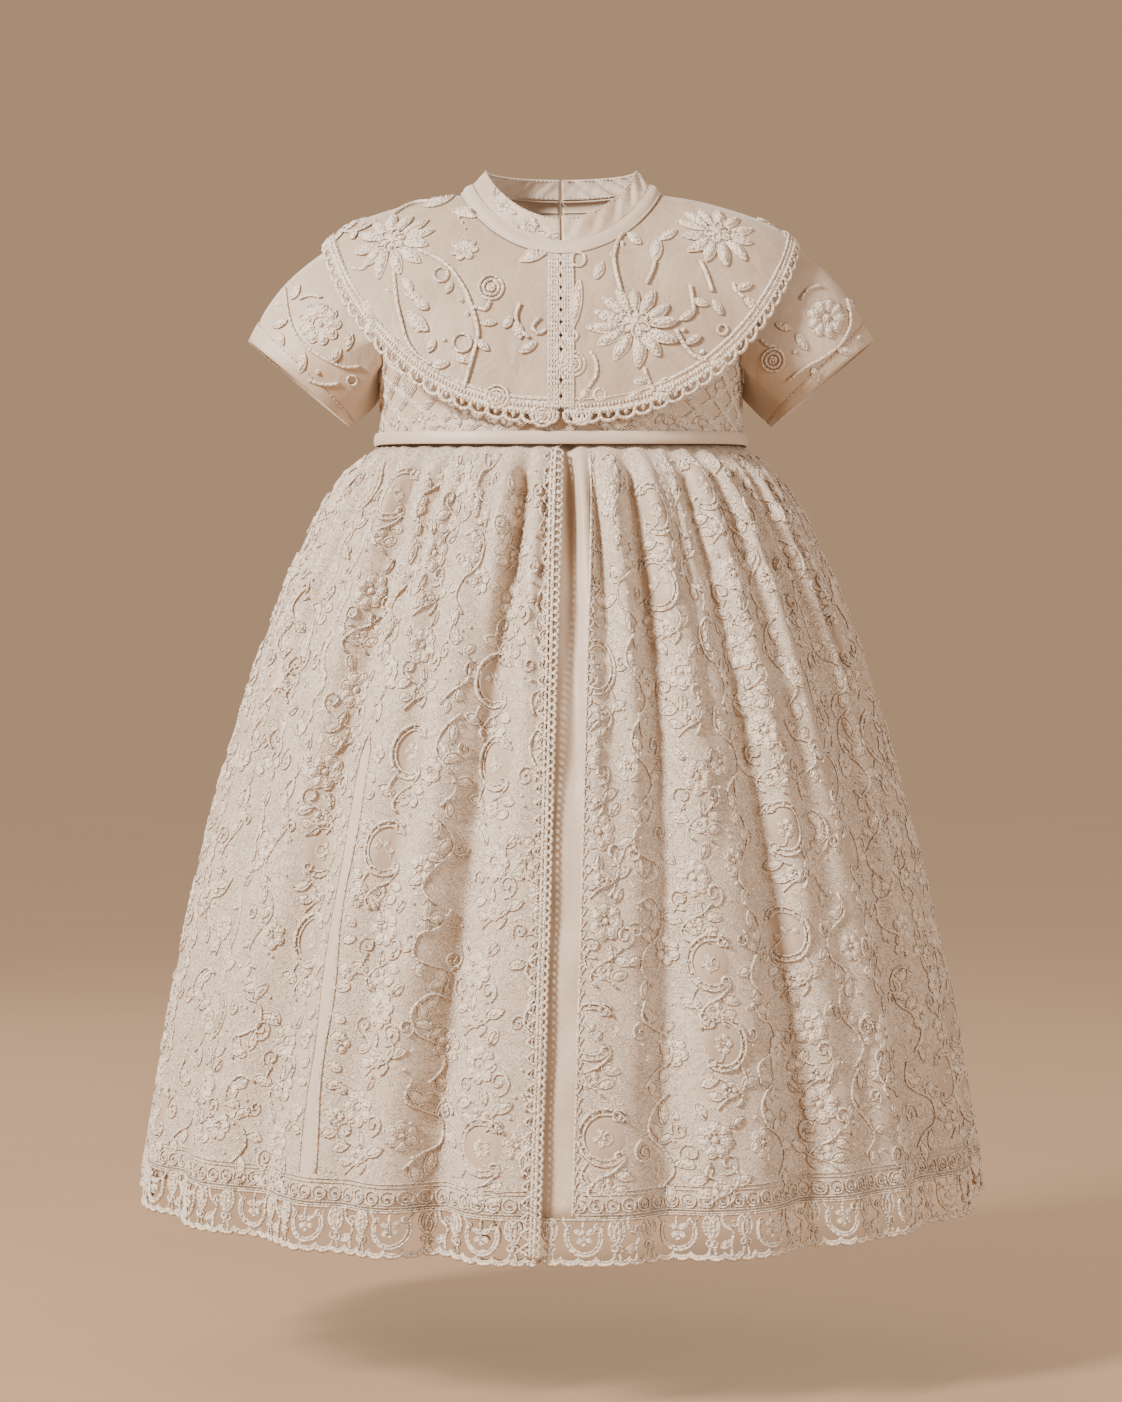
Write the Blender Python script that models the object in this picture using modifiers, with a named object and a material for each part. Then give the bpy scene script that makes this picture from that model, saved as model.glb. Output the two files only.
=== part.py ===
"""Christening gown for a baby of about twelve months, filled out as if worn.

Metres, +Z up. The front faces -Y and the origin is the middle of the neck at shoulder height.
Angles go round the body: 0 at the centre front, positive towards +X, 180 at the centre back.
Every cloth piece follows rings worked out from the tables below. The panels that meet at seams
are closed walls; the sleeves, lace and trims are open surfaces thickened by a Solidify modifier.
"""
import math
from collections import namedtuple

import bpy
from mathutils import Vector

MM = 0.001

# Cloth and seam sizes
CLOTH = 1.6 * MM
TRIM = 1.2 * MM
SEAM = 0.4 * MM
LIFT = 0.6 * MM
# How wide a wall's normal is taken over: degrees to each side, and a share of the panel's length
NORMAL_SPAN = 1.25
NORMAL_REACH = 0.01
SHARP_ANGLE = 50

# Rings of the torso and collars, in millimetres. Height runs from the side to the centre.
Ring = namedtuple("Ring", "half_width front back side_z front_z back_z square")

TORSO = [
    Ring(51.0, 45.3, 43.0, 1.0, -37.3, -1.8, 0.96),
    Ring(72.0, 56.0, 52.0, -4.0, -56.0, -18.0, 0.93),
    Ring(92.0, 64.0, 60.0, -10.0, -74.0, -38.0, 0.90),
    Ring(112.0, 69.0, 65.0, -17.5, -92.0, -60.0, 0.86),
    Ring(110.0, 71.5, 67.0, -36.0, -102.0, -78.0, 0.86),
    Ring(107.0, 73.0, 69.0, -58.0, -111.0, -94.0, 0.88),
    Ring(102.0, 74.0, 70.5, -82.0, -118.0, -106.0, 0.90),
    Ring(97.0, 75.0, 72.0, -106.0, -125.0, -118.0, 0.92),
    Ring(97.5, 75.5, 73.0, -132.0, -136.5, -134.5, 0.92),
]
# The angle each torso ring spans from the centre line, narrower beside the armhole
ARMHOLE_ANGLE = [90, 90, 90, 90, 66, 60, 66, 90, 90]
# The places down the torso that have a row of points, and those along the armhole
TORSO_PLACES = [0, 0.5, 1, 2, 3, 3.5, 4, 4.5, 5, 5.5, 6, 6.5, 7, 8]
ARMHOLE_PLACES = [3, 3.5, 4, 4.5, 5, 5.5, 6, 6.5, 7]
FRONT_COLUMNS = 17
BACK_COLUMNS = 9
BODICE_HALF_WIDTH = 100.0

CAPELET = [
    Ring(53.3, 48.0, 45.6, 2.6, -36.0, -0.4, 0.96),
    Ring(74.5, 58.7, 54.8, -0.9, -54.0, -15.0, 0.92),
    Ring(95.0, 67.2, 63.2, -6.5, -73.0, -35.0, 0.87),
    Ring(112.5, 73.4, 69.4, -13.0, -95.0, -60.0, 0.82),
    Ring(123.5, 77.6, 74.6, -20.5, -119.0, -88.0, 0.80),
]
# The capelet's halves, from their front edge round to their back edge in degrees
CAPELET_FRONT = 0.25
CAPELET_BACK = 179.2
CAPELET_COLUMNS = 31
CAPELET_PLACES = [0, 1, 2, 3, 4]
CAPELET_LAST = 4
CAPELET_LACE = Ring(127.5, 79.0, 76.2, -25.0, -127.0, -97.0, 0.80)

NECK_BAND = [
    Ring(47.8, 43.0, 41.0, 8.0, -28.5, 6.0, 0.98),
    Ring(51.0, 45.8, 43.7, 6.3, -31.8, 3.6, 0.98),
    Ring(52.8, 47.5, 45.2, 3.2, -35.3, 0.2, 0.97),
]
NECK_OPENING = 179.2
NECK_COLUMNS = 31

COLLAR = [
    Ring(40.5, 37.0, 37.5, 15.8, -15.2, 17.0, 1.0),
    Ring(43.5, 39.8, 39.6, 12.3, -21.8, 12.0, 1.0),
    Ring(47.2, 42.4, 40.6, 8.5, -28.0, 6.6, 0.98),
]
COLLAR_FRONT = 0.6
COLLAR_BACK = 179.4
COLLAR_COLUMNS = 15

WAIST_BAND = [
    Ring(99.5, 77.4, 74.9, -126.6, -131.0, -129.0, 0.92),
    Ring(100.3, 78.2, 75.7, -130.0, -134.5, -132.5, 0.92),
    Ring(99.9, 77.8, 75.3, -133.3, -137.8, -135.8, 0.92),
]
# Each waist band piece: from which angle to which, and its columns
BandSpan = namedtuple("BandSpan", "name first last columns")
BAND_SPANS = [
    BandSpan("waist_band_front", -90, 90, 21),
    BandSpan("waist_band_back_left", -180, -90, 11),
    BandSpan("waist_band_back_right", 90, 180, 11),
]
# How a ring's height runs from its side to its centre
DROP_POWER = 1.5

# Skirt: how far down it is, from the waist at 0 to the lining hem at 1
SkirtRow = namedtuple("SkirtRow", "down half_width gather_depth")
SKIRT = [
    SkirtRow(0.00, 98.3, 0.9),
    SkirtRow(0.035, 112.0, 3.2),
    SkirtRow(0.10, 126.0, 4.2),
    SkirtRow(0.20, 143.5, 3.4),
    SkirtRow(0.32, 161.0, 2.2),
    SkirtRow(0.45, 176.0, 1.2),
    SkirtRow(0.60, 191.0, 0.5),
    SkirtRow(0.78, 206.5, 0.2),
    SkirtRow(1.00, 221.0, 0.0),
    SkirtRow(1.06, 223.5, 0.0),
]
LACE_DOWN = SKIRT[-1].down
PANEL_ROWS = [0.0, 0.03, 0.09, 0.19, 0.35, 0.55, 0.78, 1.0]
DEPTH_RATIO = 0.768
SKIRT_SQUARE = 0.97
WAIST_Z = Ring(0, 0, 0, -133.8, -138.3, -136.3, 1)
HEM_Z = Ring(0, 0, 0, -510.0, -521.0, -514.0, 1)
LACE_Z = Ring(0, 0, 0, -531.5, -543.0, -536.0, 1)
GATHERS = 48
FACETS_A_GATHER = 3
PANEL_SIDE = 99.0
# The lapping edge's angle at the waist and at the hem, and how far the panel below it goes under
LAP_TOP = -0.4
LAP_HEM = -2.6
LAP_DEPTH = 4.2
UNDERLAP = 7.0
# Degrees past the lapping edge where the lower panel starts to rise, and how many it takes
RISE_START = 1.0
RISE_SPAN = 6.0

# Uneven gathers: waves round the waist that shift them and change their height
Wave = namedtuple("Wave", "count phase size")
SHIFT_WAVES = [Wave(5, 20, 2.2), Wave(11, 0, 1.3)]
HEIGHT_WAVE = Wave(7, 50, 0.2)

# Main folds of the skirt: the valleys' angles at waist and hem, depths in millimetres
Fold = namedtuple("Fold", "waist hem top_depth hem_depth spread")
FOLDS = [
    Fold(-8.0, -16.0, 10.0, 23.0, 4.2),
    Fold(-20.0, -28.5, 3.0, 7.0, 4.0),
    Fold(-33.0, -44.0, 7.0, 15.0, 6.0),
    Fold(-54.0, -63.0, 4.0, 9.0, 5.5),
    Fold(-76.0, -83.0, 4.0, 10.0, 6.0),
    Fold(18.5, 13.5, 6.0, 13.0, 3.8),
    Fold(31.5, 33.5, 7.0, 15.0, 4.4),
    Fold(43.0, 44.5, 2.5, 5.0, 4.0),
    Fold(55.0, 57.0, 5.0, 10.0, 5.0),
    Fold(77.0, 78.0, 4.0, 10.0, 6.0),
    Fold(97.0, 96.0, 4.0, 9.0, 5.0),
    Fold(114.0, 111.5, 6.0, 14.0, 5.0),
    Fold(130.0, 131.5, 4.0, 9.0, 5.0),
    Fold(149.0, 147.0, 7.0, 17.0, 5.0),
    Fold(167.0, 169.0, 4.0, 10.0, 5.0),
    Fold(186.0, 185.0, 6.0, 15.0, 4.6),
    Fold(205.0, 208.0, 5.0, 11.0, 5.0),
    Fold(223.0, 222.0, 7.0, 16.0, 5.0),
    Fold(243.0, 245.0, 4.0, 9.0, 5.0),
    Fold(262.0, 259.5, 5.0, 12.0, 5.5),
]
# Where the folds open, how fast and evenly they grow, their width at the waist as a share of
# that at the hem, and how far the cloth between them lifts near the waist and at the hem
FOLD_START = 0.06
FOLD_SPEED = 1.15
FOLD_EASE = 0.8
FOLD_TOP_WIDTH = 0.62
TOP_LIFT = 2.6
HEM_LIFT = 2.4

# Sleeves
SLEEVE_STEPS = [0.0, 0.12, 0.32, 0.56, 0.80, 1.0]
SLEEVE_WAY = (0.65, -0.76)
CUFF_TOP = (168.0, -76.5)
CUFF_FOOT = (114.0, -122.0)
CUFF_HALF_DEPTH = 31.0
HEAD_PUFF = 7.0
UNDERARM_PUFF = 1.5

# Lace border below the lining: open cells of each repeat, as (column, row)
REPEATS = 30
REPEAT_COLUMNS = 6
LACE_ROWS = 4
REPEAT_HOLES = [(0, 1), (1, 1), (0, 2), (1, 2), (3, 1), (3, 2), (4, 2)]
LACE_SCALLOP = 2.4
SCALLOPS_A_REPEAT = 2

# Edgings
EDGING_SCALLOPS = 42
EDGING_SCALLOP = 2.6
TRIM_SCALLOPS = 54
TRIM_WIDTH = 8.0
TRIM_SCALLOP = 2.6
# Where the trim runs down the skirt, how far in it starts as a share of its width, and the
# degrees that the last span beside the lapping edge takes of the panel
TRIM_TOP = 0.012
TRIM_FOOT = 0.999
TRIM_INSET = 0.12
TRIM_ANGLE = 4.0
BRAID_WIDTH = 5.0
BRAID_INSET = 1.7
BRAID_PICOTS = 12
# How far the braid stops short of the capelet's top and bottom rows, and the row step that
# gives its direction
BRAID_END = 0.03
BRAID_STEP = 0.1
PICOT = 1.5

# Raised flowers on the capelet: angle round, row down, reach in millimetres and petals
Flower = namedtuple("Flower", "name angle row reach petals")
FLOWERS = [
    Flower("flower_left_large", -64.0, 2.15, 23.0, 12),
    Flower("flower_right_large", 18.5, 2.34, 23.0, 13),
    Flower("flower_right_shoulder", 64.5, 1.76, 22.0, 12),
    Flower("flower_left_small", -43.0, 0.92, 8.0, 6),
]
FLOWER_LIFT = 0.9 * MM
INNER_REACH = 0.45
NOTCH_REACH = 0.62
# The steps round and down that the capelet's slope under a flower is measured over
FLOWER_STEP = 0.5
FLOWER_ROW_STEP = 0.1

# Buttons down the centre back
BUTTON_RADIUS = 4.0
BUTTON_THICKNESS = 2.2
BUTTON_BEVEL = 0.5
BUTTON_SIDES = 20
BUTTON_GAP = 1.0
Button = namedtuple("Button", "name rings degrees tilt")
BUTTONS = [
    Button("back_button_neck", NECK_BAND, 176.0, 50),
    Button("back_button_waist", WAIST_BAND, 178.0, 88),
]

COLOURS = {
    "satin": (0.60, 0.51, 0.43, 1.0),
    "lace": (0.68, 0.59, 0.51, 1.0),
    "organza": (0.64, 0.56, 0.48, 1.0),
    "pearl": (0.75, 0.68, 0.60, 1.0),
}
ROUGHNESS = {"satin": 0.42, "lace": 0.75, "organza": 0.5, "pearl": 0.3}


def clear_scene():
    for item in list(bpy.data.objects):
        bpy.data.objects.remove(item, do_unlink=True)


def make_collection(name):
    collection = bpy.data.collections.new(name)
    bpy.context.scene.collection.children.link(collection)
    return collection


def make_material(name, finish):
    material = bpy.data.materials.new(name + "_material")
    material.use_nodes = True
    shader = material.node_tree.nodes["Principled BSDF"]
    shader.inputs["Base Color"].default_value = COLOURS[finish]
    shader.inputs["Roughness"].default_value = ROUGHNESS[finish]
    shader.inputs["Metallic"].default_value = 0.0
    return material


def signed_power(value, power):
    return math.copysign(abs(value) ** power, value)


def mix(first, second, share):
    return first + (second - first) * share


def smooth(first, before, after, last, share):
    """A curve through the two middle values, led by their neighbours."""
    lead = (after - first) / 2
    trail = (last - before) / 2
    cube = share ** 3
    square = share ** 2
    return ((2 * cube - 3 * square + 1) * before + (cube - 2 * square + share) * lead
            + (3 * square - 2 * cube) * after + (cube - square) * trail)


def ring_between(rings, place):
    """The ring at a place between the table's rows, on a smooth curve through them."""
    last = len(rings) - 1
    low = min(int(place), last - 1)
    share = place - low
    rows = [rings[max(low - 1, 0)], rings[low], rings[low + 1], rings[min(low + 2, last)]]
    return Ring(*[smooth(*values, share) for values in zip(*rows)])


def ring_height(ring, angle):
    turn = math.cos(angle)
    centre = ring.front_z if turn > 0 else ring.back_z
    return mix(ring.side_z, centre, abs(turn) ** DROP_POWER)


def ring_point(ring, degrees):
    angle = math.radians(degrees)
    turn = math.cos(angle)
    depth = ring.front if turn > 0 else ring.back
    x = ring.half_width * signed_power(math.sin(angle), ring.square)
    y = -depth * signed_power(turn, ring.square)
    return Vector((x, y, ring_height(ring, angle))) * MM


def skirt_row(down):
    """Half width and gather depth at a distance down the skirt."""
    low = 0
    while low < len(SKIRT) - 2 and SKIRT[low + 1].down < down:
        low += 1
    before = SKIRT[low]
    after = SKIRT[low + 1]
    share = (down - before.down) / (after.down - before.down)
    return (mix(before.half_width, after.half_width, share),
            mix(before.gather_depth, after.gather_depth, share))


def fold_depth(down, degrees):
    """How far the main folds sink the cloth, and lift it between them, in millimetres."""
    depth = 0.0
    reach = min(down * FOLD_SPEED, 1.0) ** FOLD_EASE
    start = min(down / FOLD_START, 1.0)
    for fold in FOLDS:
        centre = mix(fold.waist, fold.hem, reach)
        apart = (degrees - centre + 180) % 360 - 180
        spread = fold.spread * mix(FOLD_TOP_WIDTH, 1.0, reach)
        depth += mix(fold.top_depth, fold.hem_depth, reach) * start * math.exp(-(apart / spread) ** 2)
    return depth - TOP_LIFT * start - HEM_LIFT * reach


def wave_at(wave, degrees):
    return wave.size * math.sin(math.radians(degrees * wave.count + wave.phase))


def gather_wave(degrees):
    """The gathers' wave round the waist, uneven in pitch and height."""
    shift = sum(wave_at(wave, degrees) for wave in SHIFT_WAVES)
    height = 1 - HEIGHT_WAVE.size + wave_at(HEIGHT_WAVE, degrees)
    return height * math.cos(math.radians((degrees + shift) * GATHERS))


def skirt_point(down, degrees, sunk=0.0):
    half_width, gather_depth = skirt_row(down)
    angle = math.radians(degrees)
    out = gather_depth * gather_wave(degrees) - fold_depth(down, degrees) - sunk
    across = signed_power(math.sin(angle), SKIRT_SQUARE)
    along = signed_power(math.cos(angle), SKIRT_SQUARE)
    half_depth = half_width * DEPTH_RATIO
    normal = Vector((across / half_width, -along / half_depth)).normalized()
    x = half_width * across + normal.x * out
    y = -half_depth * along + normal.y * out
    z = mix(ring_height(WAIST_Z, angle), ring_height(HEM_Z, angle), min(down, 1.0))
    if down > 1.0:
        share = (down - 1.0) / (LACE_DOWN - 1.0)
        z = mix(ring_height(HEM_Z, angle), ring_height(LACE_Z, angle), share)
    return Vector((x, y, z)) * MM


def lap_edge(down):
    """The angle of the lapping edge, which swings to one side towards the hem."""
    return mix(LAP_TOP, LAP_HEM, down)


def make_cloth(name, rows, finish, thickness, outward=False, wraps=False, holes=()):
    """A cloth piece from rows of points, with its thickness inwards or outwards."""
    columns = len(rows[0])
    points = [point for row in rows for point in row]
    spans = columns if wraps else columns - 1
    faces = []
    for row in range(len(rows) - 1):
        for column in range(spans):
            if (column, row) in holes:
                continue
            beside = (column + 1) % columns
            top = row * columns
            foot = top + columns
            faces.append((top + column, foot + column, foot + beside, top + beside))
    mesh = bpy.data.meshes.new(name)
    mesh.from_pydata(points, [], faces)
    mesh.validate()
    mesh.shade_smooth()
    mesh.materials.append(make_material(name, finish))
    item = bpy.data.objects.new(name, mesh)
    GOWN.objects.link(item)
    solidify = item.modifiers.new("Thickness", "SOLIDIFY")
    solidify.thickness = thickness
    solidify.offset = 1.0 if outward else -1.0
    solidify.use_even_offset = False
    return item


def grid(places, angles_at, point_at):
    """Rows of points, each with its own angles."""
    return [[point_at(place, angle) for angle in angles_at(place)] for place in places]


def outward(point_at, places, place, degrees):
    """The outward normal of a surface, taken over a span as wide as its facets."""
    across = point_at(place, degrees + NORMAL_SPAN) - point_at(place, degrees - NORMAL_SPAN)
    reach = (places[-1] - places[0]) * NORMAL_REACH
    above = max(place - reach, places[0])
    below = min(place + reach, places[-1])
    down = point_at(below, degrees) - point_at(above, degrees)
    return down.cross(across).normalized()


def make_panel(name, places, angles_at, point_at, finish):
    """A closed cloth wall between a surface and the same surface moved in by its thickness."""
    outer = grid(places, angles_at, point_at)
    columns = len(outer[0])
    points = [point for row in outer for point in row]
    count = len(points)
    for place in places:
        for angle in angles_at(place):
            normal = outward(point_at, places, place, angle)
            points.append(point_at(place, angle) - normal * CLOTH)
    cells = []
    for row in range(len(outer) - 1):
        for column in range(columns - 1):
            top = row * columns + column
            cells.append((top, top + columns, top + columns + 1, top + 1))
    edges = {(cell[index - 1], cell[index]) for cell in cells for index in range(4)}
    rims = sorted(edge for edge in edges if edge[::-1] not in edges)
    faces = cells + [tuple(corner + count for corner in cell[::-1]) for cell in cells]
    faces += [(last, first, first + count, last + count) for first, last in rims]
    mesh = bpy.data.meshes.new(name)
    mesh.from_pydata(points, [], faces)
    mesh.shade_smooth()
    mesh.set_sharp_from_angle(angle=math.radians(SHARP_ANGLE))
    mesh.materials.append(make_material(name, finish))
    item = bpy.data.objects.new(name, mesh)
    GOWN.objects.link(item)
    return item


def spread_angles(first, last, count):
    return [mix(first, last, index / (count - 1)) for index in range(count)]


def seam_angle(half_width):
    return math.degrees(SEAM / (half_width * MM))


def armhole_angle(place):
    """The torso's span beside the armhole, between the table's rows."""
    low = min(int(place), len(ARMHOLE_ANGLE) - 2)
    return mix(ARMHOLE_ANGLE[low], ARMHOLE_ANGLE[low + 1], place - low)


def torso_point(place, degrees):
    return ring_point(ring_between(TORSO, place), degrees)


def make_bodice():
    seam = seam_angle(BODICE_HALF_WIDTH) / 2

    def front_angles(place):
        side = armhole_angle(place) - seam
        return spread_angles(-side, side, FRONT_COLUMNS)

    make_panel("bodice_front", TORSO_PLACES, front_angles, torso_point, "satin")
    for name, side in (("left", -1), ("right", 1)):
        def back_angles(place):
            outer = 180 - armhole_angle(place) + seam
            return sorted(side * angle for angle in spread_angles(outer, 180 - seam, BACK_COLUMNS))

        make_panel("bodice_back_" + name, TORSO_PLACES, back_angles, torso_point, "satin")


def armhole_ring(side):
    """The armhole's edge: down the front from the shoulder, and up the back."""
    front = [torso_point(place, side * armhole_angle(place)) for place in ARMHOLE_PLACES]
    back = [torso_point(place, side * (180 - armhole_angle(place))) for place in ARMHOLE_PLACES[1:-1]]
    return front + back[::-1]


def make_sleeve(name, side):
    start = armhole_ring(side)
    count = len(start)
    top = Vector((side * CUFF_TOP[0], 0, CUFF_TOP[1])) * MM
    foot = Vector((side * CUFF_FOOT[0], 0, CUFF_FOOT[1])) * MM
    middle = (top + foot) / 2
    half = (top - foot) / 2
    up = half.normalized()
    along = Vector((side * SLEEVE_WAY[0], 0, SLEEVE_WAY[1])).normalized()
    rows = []
    for step in SLEEVE_STEPS:
        row = []
        for index, point in enumerate(start):
            turn = 2 * math.pi * index / count
            deep = Vector((0, -CUFF_HALF_DEPTH * MM * math.sin(turn), 0))
            cuff = middle + half * math.cos(turn) + deep
            puff = mix(UNDERARM_PUFF, HEAD_PUFF, (1 + math.cos(turn)) / 2) * math.sin(math.pi * step)
            out = (up * math.cos(turn) - Vector((0, math.sin(turn), 0))) * puff * MM
            row.append(mix(point + along * 2 * SEAM, cuff, step) + out)
        rows.append(row if side < 0 else row[::-1])
    make_cloth(name, rows, "satin", CLOTH, wraps=True)


def capelet_point(place, degrees):
    return ring_point(ring_between(CAPELET, place), degrees)


def capelet_span(side):
    """The angles that half of the capelet runs between, lowest first."""
    return sorted((side * CAPELET_FRONT, side * CAPELET_BACK))


def capelet_angles(side):
    return spread_angles(*capelet_span(side), CAPELET_COLUMNS)


def capelet_rows(side):
    return grid(CAPELET_PLACES, lambda place: capelet_angles(side), capelet_point)


def along_row(row, share):
    """A point along a row's straight spans."""
    place = share * (len(row) - 1)
    low = min(int(place), len(row) - 2)
    return mix(row[low], row[low + 1], place - low)


def make_capelet(name, side):
    rows = capelet_rows(side)
    make_panel(name, CAPELET_PLACES, lambda place: capelet_angles(side), capelet_point, "satin")
    edge = rows[-1]
    columns = EDGING_SCALLOPS * 2 + 1
    inner = []
    outer = []
    for index in range(columns):
        share = index / (columns - 1)
        angle = mix(*capelet_span(side), share)
        near = along_row(edge, share)
        far = ring_point(CAPELET_LACE, angle)
        way = (far - near).normalized()
        pull = EDGING_SCALLOP * MM if index % 2 == 0 else 0.0
        inner.append(near + way * SEAM)
        outer.append(far - way * pull)
    make_cloth(name + "_lace", [inner, outer], "lace", TRIM)
    make_braid(name + "_braid", rows, side)


def row_surface(rows, place, share):
    """A point on a piece's own straight-sided surface."""
    low = min(int(place), len(rows) - 2)
    return mix(along_row(rows[low], share), along_row(rows[low + 1], share), place - low)


def make_braid(name, rows, side):
    """The braid down the capelet's centre-front edge, with picots towards the middle."""
    edge_share = 1.0 if side < 0 else 0.0
    steps = BRAID_PICOTS * 2
    strip = []
    for index in range(steps + 1):
        place = mix(BRAID_END, CAPELET_LAST - BRAID_END, index / steps)
        edge = row_surface(rows, place, edge_share)
        inner_share = abs(edge_share - 1 / (len(rows[0]) - 1))
        inside = row_surface(rows, place, inner_share)
        away = (inside - edge).normalized()
        down = row_surface(rows, min(place + BRAID_STEP, CAPELET_LAST), edge_share) - edge
        up = away.cross(down).normalized() * (-side)
        lift = up * LIFT
        picot = PICOT * MM if index % 2 else 0.0
        near = edge - away * (picot - BRAID_INSET * MM) + lift
        far = edge + away * BRAID_WIDTH * MM + lift
        strip.append([far, near] if side < 0 else [near, far])
    make_cloth(name, strip, "lace", TRIM, outward=True)


def make_flower(flower):
    """A raised flower, made from the capelet's surface moved out."""
    side = -1 if flower.angle < 0 else 1
    rows = capelet_rows(side)

    def surface(angle, place):
        low, high = capelet_span(side)
        return row_surface(rows, place, (angle - low) / (high - low))

    centre = surface(flower.angle, flower.row)
    east = (surface(flower.angle + FLOWER_STEP, flower.row) - centre) / FLOWER_STEP
    south = (surface(flower.angle, flower.row + FLOWER_ROW_STEP) - centre) / FLOWER_ROW_STEP
    normal = south.cross(east).normalized()
    if normal.y > 0:
        normal = -normal
    count = flower.petals * 2
    points = [centre + normal * FLOWER_LIFT]
    for share in (INNER_REACH, 1.0):
        for index in range(count):
            turn = 2 * math.pi * index / count
            reach = flower.reach * MM * share * (1.0 if index % 2 == 0 else NOTCH_REACH)
            wide = reach * math.cos(turn) / east.length
            deep = reach * math.sin(turn) / south.length
            points.append(surface(flower.angle + wide, flower.row + deep) + normal * FLOWER_LIFT)
    faces = []
    for index in range(count):
        beside = (index + 1) % count
        faces.append((0, 1 + beside, 1 + index))
        faces.append((1 + index, 1 + beside, 1 + count + beside, 1 + count + index))
    mesh = bpy.data.meshes.new(flower.name)
    mesh.from_pydata(points, [], faces)
    mesh.shade_smooth()
    mesh.materials.append(make_material(flower.name, "lace"))
    item = bpy.data.objects.new(flower.name, mesh)
    GOWN.objects.link(item)
    solidify = item.modifiers.new("Thickness", "SOLIDIFY")
    solidify.thickness = TRIM
    solidify.offset = 1.0


def make_ringed(name, rings, angles, finish):
    """A panel through a short table of rings."""
    places = list(range(len(rings)))
    make_panel(name, places, lambda place: angles,
               lambda place, degrees: ring_point(ring_between(rings, place), degrees), finish)


def make_neck():
    for name, side in (("collar_left", -1), ("collar_right", 1)):
        low, high = sorted((side * COLLAR_FRONT, side * COLLAR_BACK))
        make_ringed(name, COLLAR, spread_angles(low, high, COLLAR_COLUMNS), "organza")
    angles = spread_angles(-NECK_OPENING, NECK_OPENING, NECK_COLUMNS)
    make_ringed("neck_band", NECK_BAND, angles, "satin")


def make_waist_band():
    seam = seam_angle(BODICE_HALF_WIDTH) / 2
    for span in BAND_SPANS:
        angles = spread_angles(span.first + seam, span.last - seam, span.columns)
        make_ringed(span.name, WAIST_BAND, angles, "satin")


def panel_columns(degrees):
    """How many columns a skirt panel has, so that each gather shows."""
    return int(degrees * GATHERS * FACETS_A_GATHER / 360) + 1


def left_angles(down):
    """From the side seam to the lapping edge, with a narrow last span for the trim."""
    edge = lap_edge(down)
    half_width = skirt_row(down)[0]
    inside = edge - math.degrees(TRIM_WIDTH / half_width)
    first = -PANEL_SIDE + seam_angle(half_width) / 2
    return spread_angles(first, inside, panel_columns(PANEL_SIDE - TRIM_ANGLE)) + [edge]


def right_angles(down):
    first = lap_edge(down) - UNDERLAP
    last = PANEL_SIDE - seam_angle(skirt_row(down)[0]) / 2
    return spread_angles(first, last, panel_columns(PANEL_SIDE + UNDERLAP))


def back_angles(down):
    seam = seam_angle(skirt_row(down)[0]) / 2
    columns = panel_columns(360 - 2 * PANEL_SIDE)
    return spread_angles(PANEL_SIDE + seam, 360 - PANEL_SIDE - seam, columns)


def right_point(down, degrees):
    """The right front panel, which sinks under the lapping one."""
    beyond = degrees - lap_edge(down)
    share = min(max((beyond - RISE_START) / RISE_SPAN, 0.0), 1.0)
    eased = share * share * (3 - 2 * share)
    return skirt_point(down, degrees, LAP_DEPTH * (1 - eased))


PANELS = [
    ("left", left_angles, skirt_point),
    ("right", right_angles, right_point),
    ("back", back_angles, skirt_point),
]


def make_skirt():
    for name, angles_at, point_at in PANELS:
        make_panel("skirt_" + name, PANEL_ROWS, angles_at, point_at, "satin")
        hem_angles = angles_at(1.0)
        hem_row = [point_at(1.0, angle) for angle in hem_angles]
        make_hem_lace("hem_lace_" + name, hem_angles, hem_row, point_at)


def make_hem_lace(name, hem_angles, hem_row, point_at):
    """The open lace below the lining, from the hem's own points down to a scalloped edge."""
    first = hem_angles[0]
    last = hem_angles[-1]
    repeats = max(round((last - first) / 360 * REPEATS), 1)
    columns = repeats * REPEAT_COLUMNS + 1
    rows = [[] for _ in range(LACE_ROWS + 1)]
    for column in range(columns):
        share = column / (columns - 1)
        angle = mix(first, last, share)
        along = column % REPEAT_COLUMNS / REPEAT_COLUMNS
        turn = 2 * math.pi * SCALLOPS_A_REPEAT * along
        scallop = LACE_SCALLOP * MM * (math.cos(turn) - 1) / 2
        hem = along_row(hem_row, share)
        low = point_at(LACE_DOWN, angle)
        for row in range(LACE_ROWS + 1):
            way = row / LACE_ROWS
            point = mix(hem, low, way)
            point.z += mix(-SEAM, -scallop, way)
            rows[row].append(point)
    holes = {(repeat * REPEAT_COLUMNS + column, row)
             for repeat in range(repeats) for column, row in REPEAT_HOLES}
    make_cloth(name, rows, "lace", TRIM, holes=holes)


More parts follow.
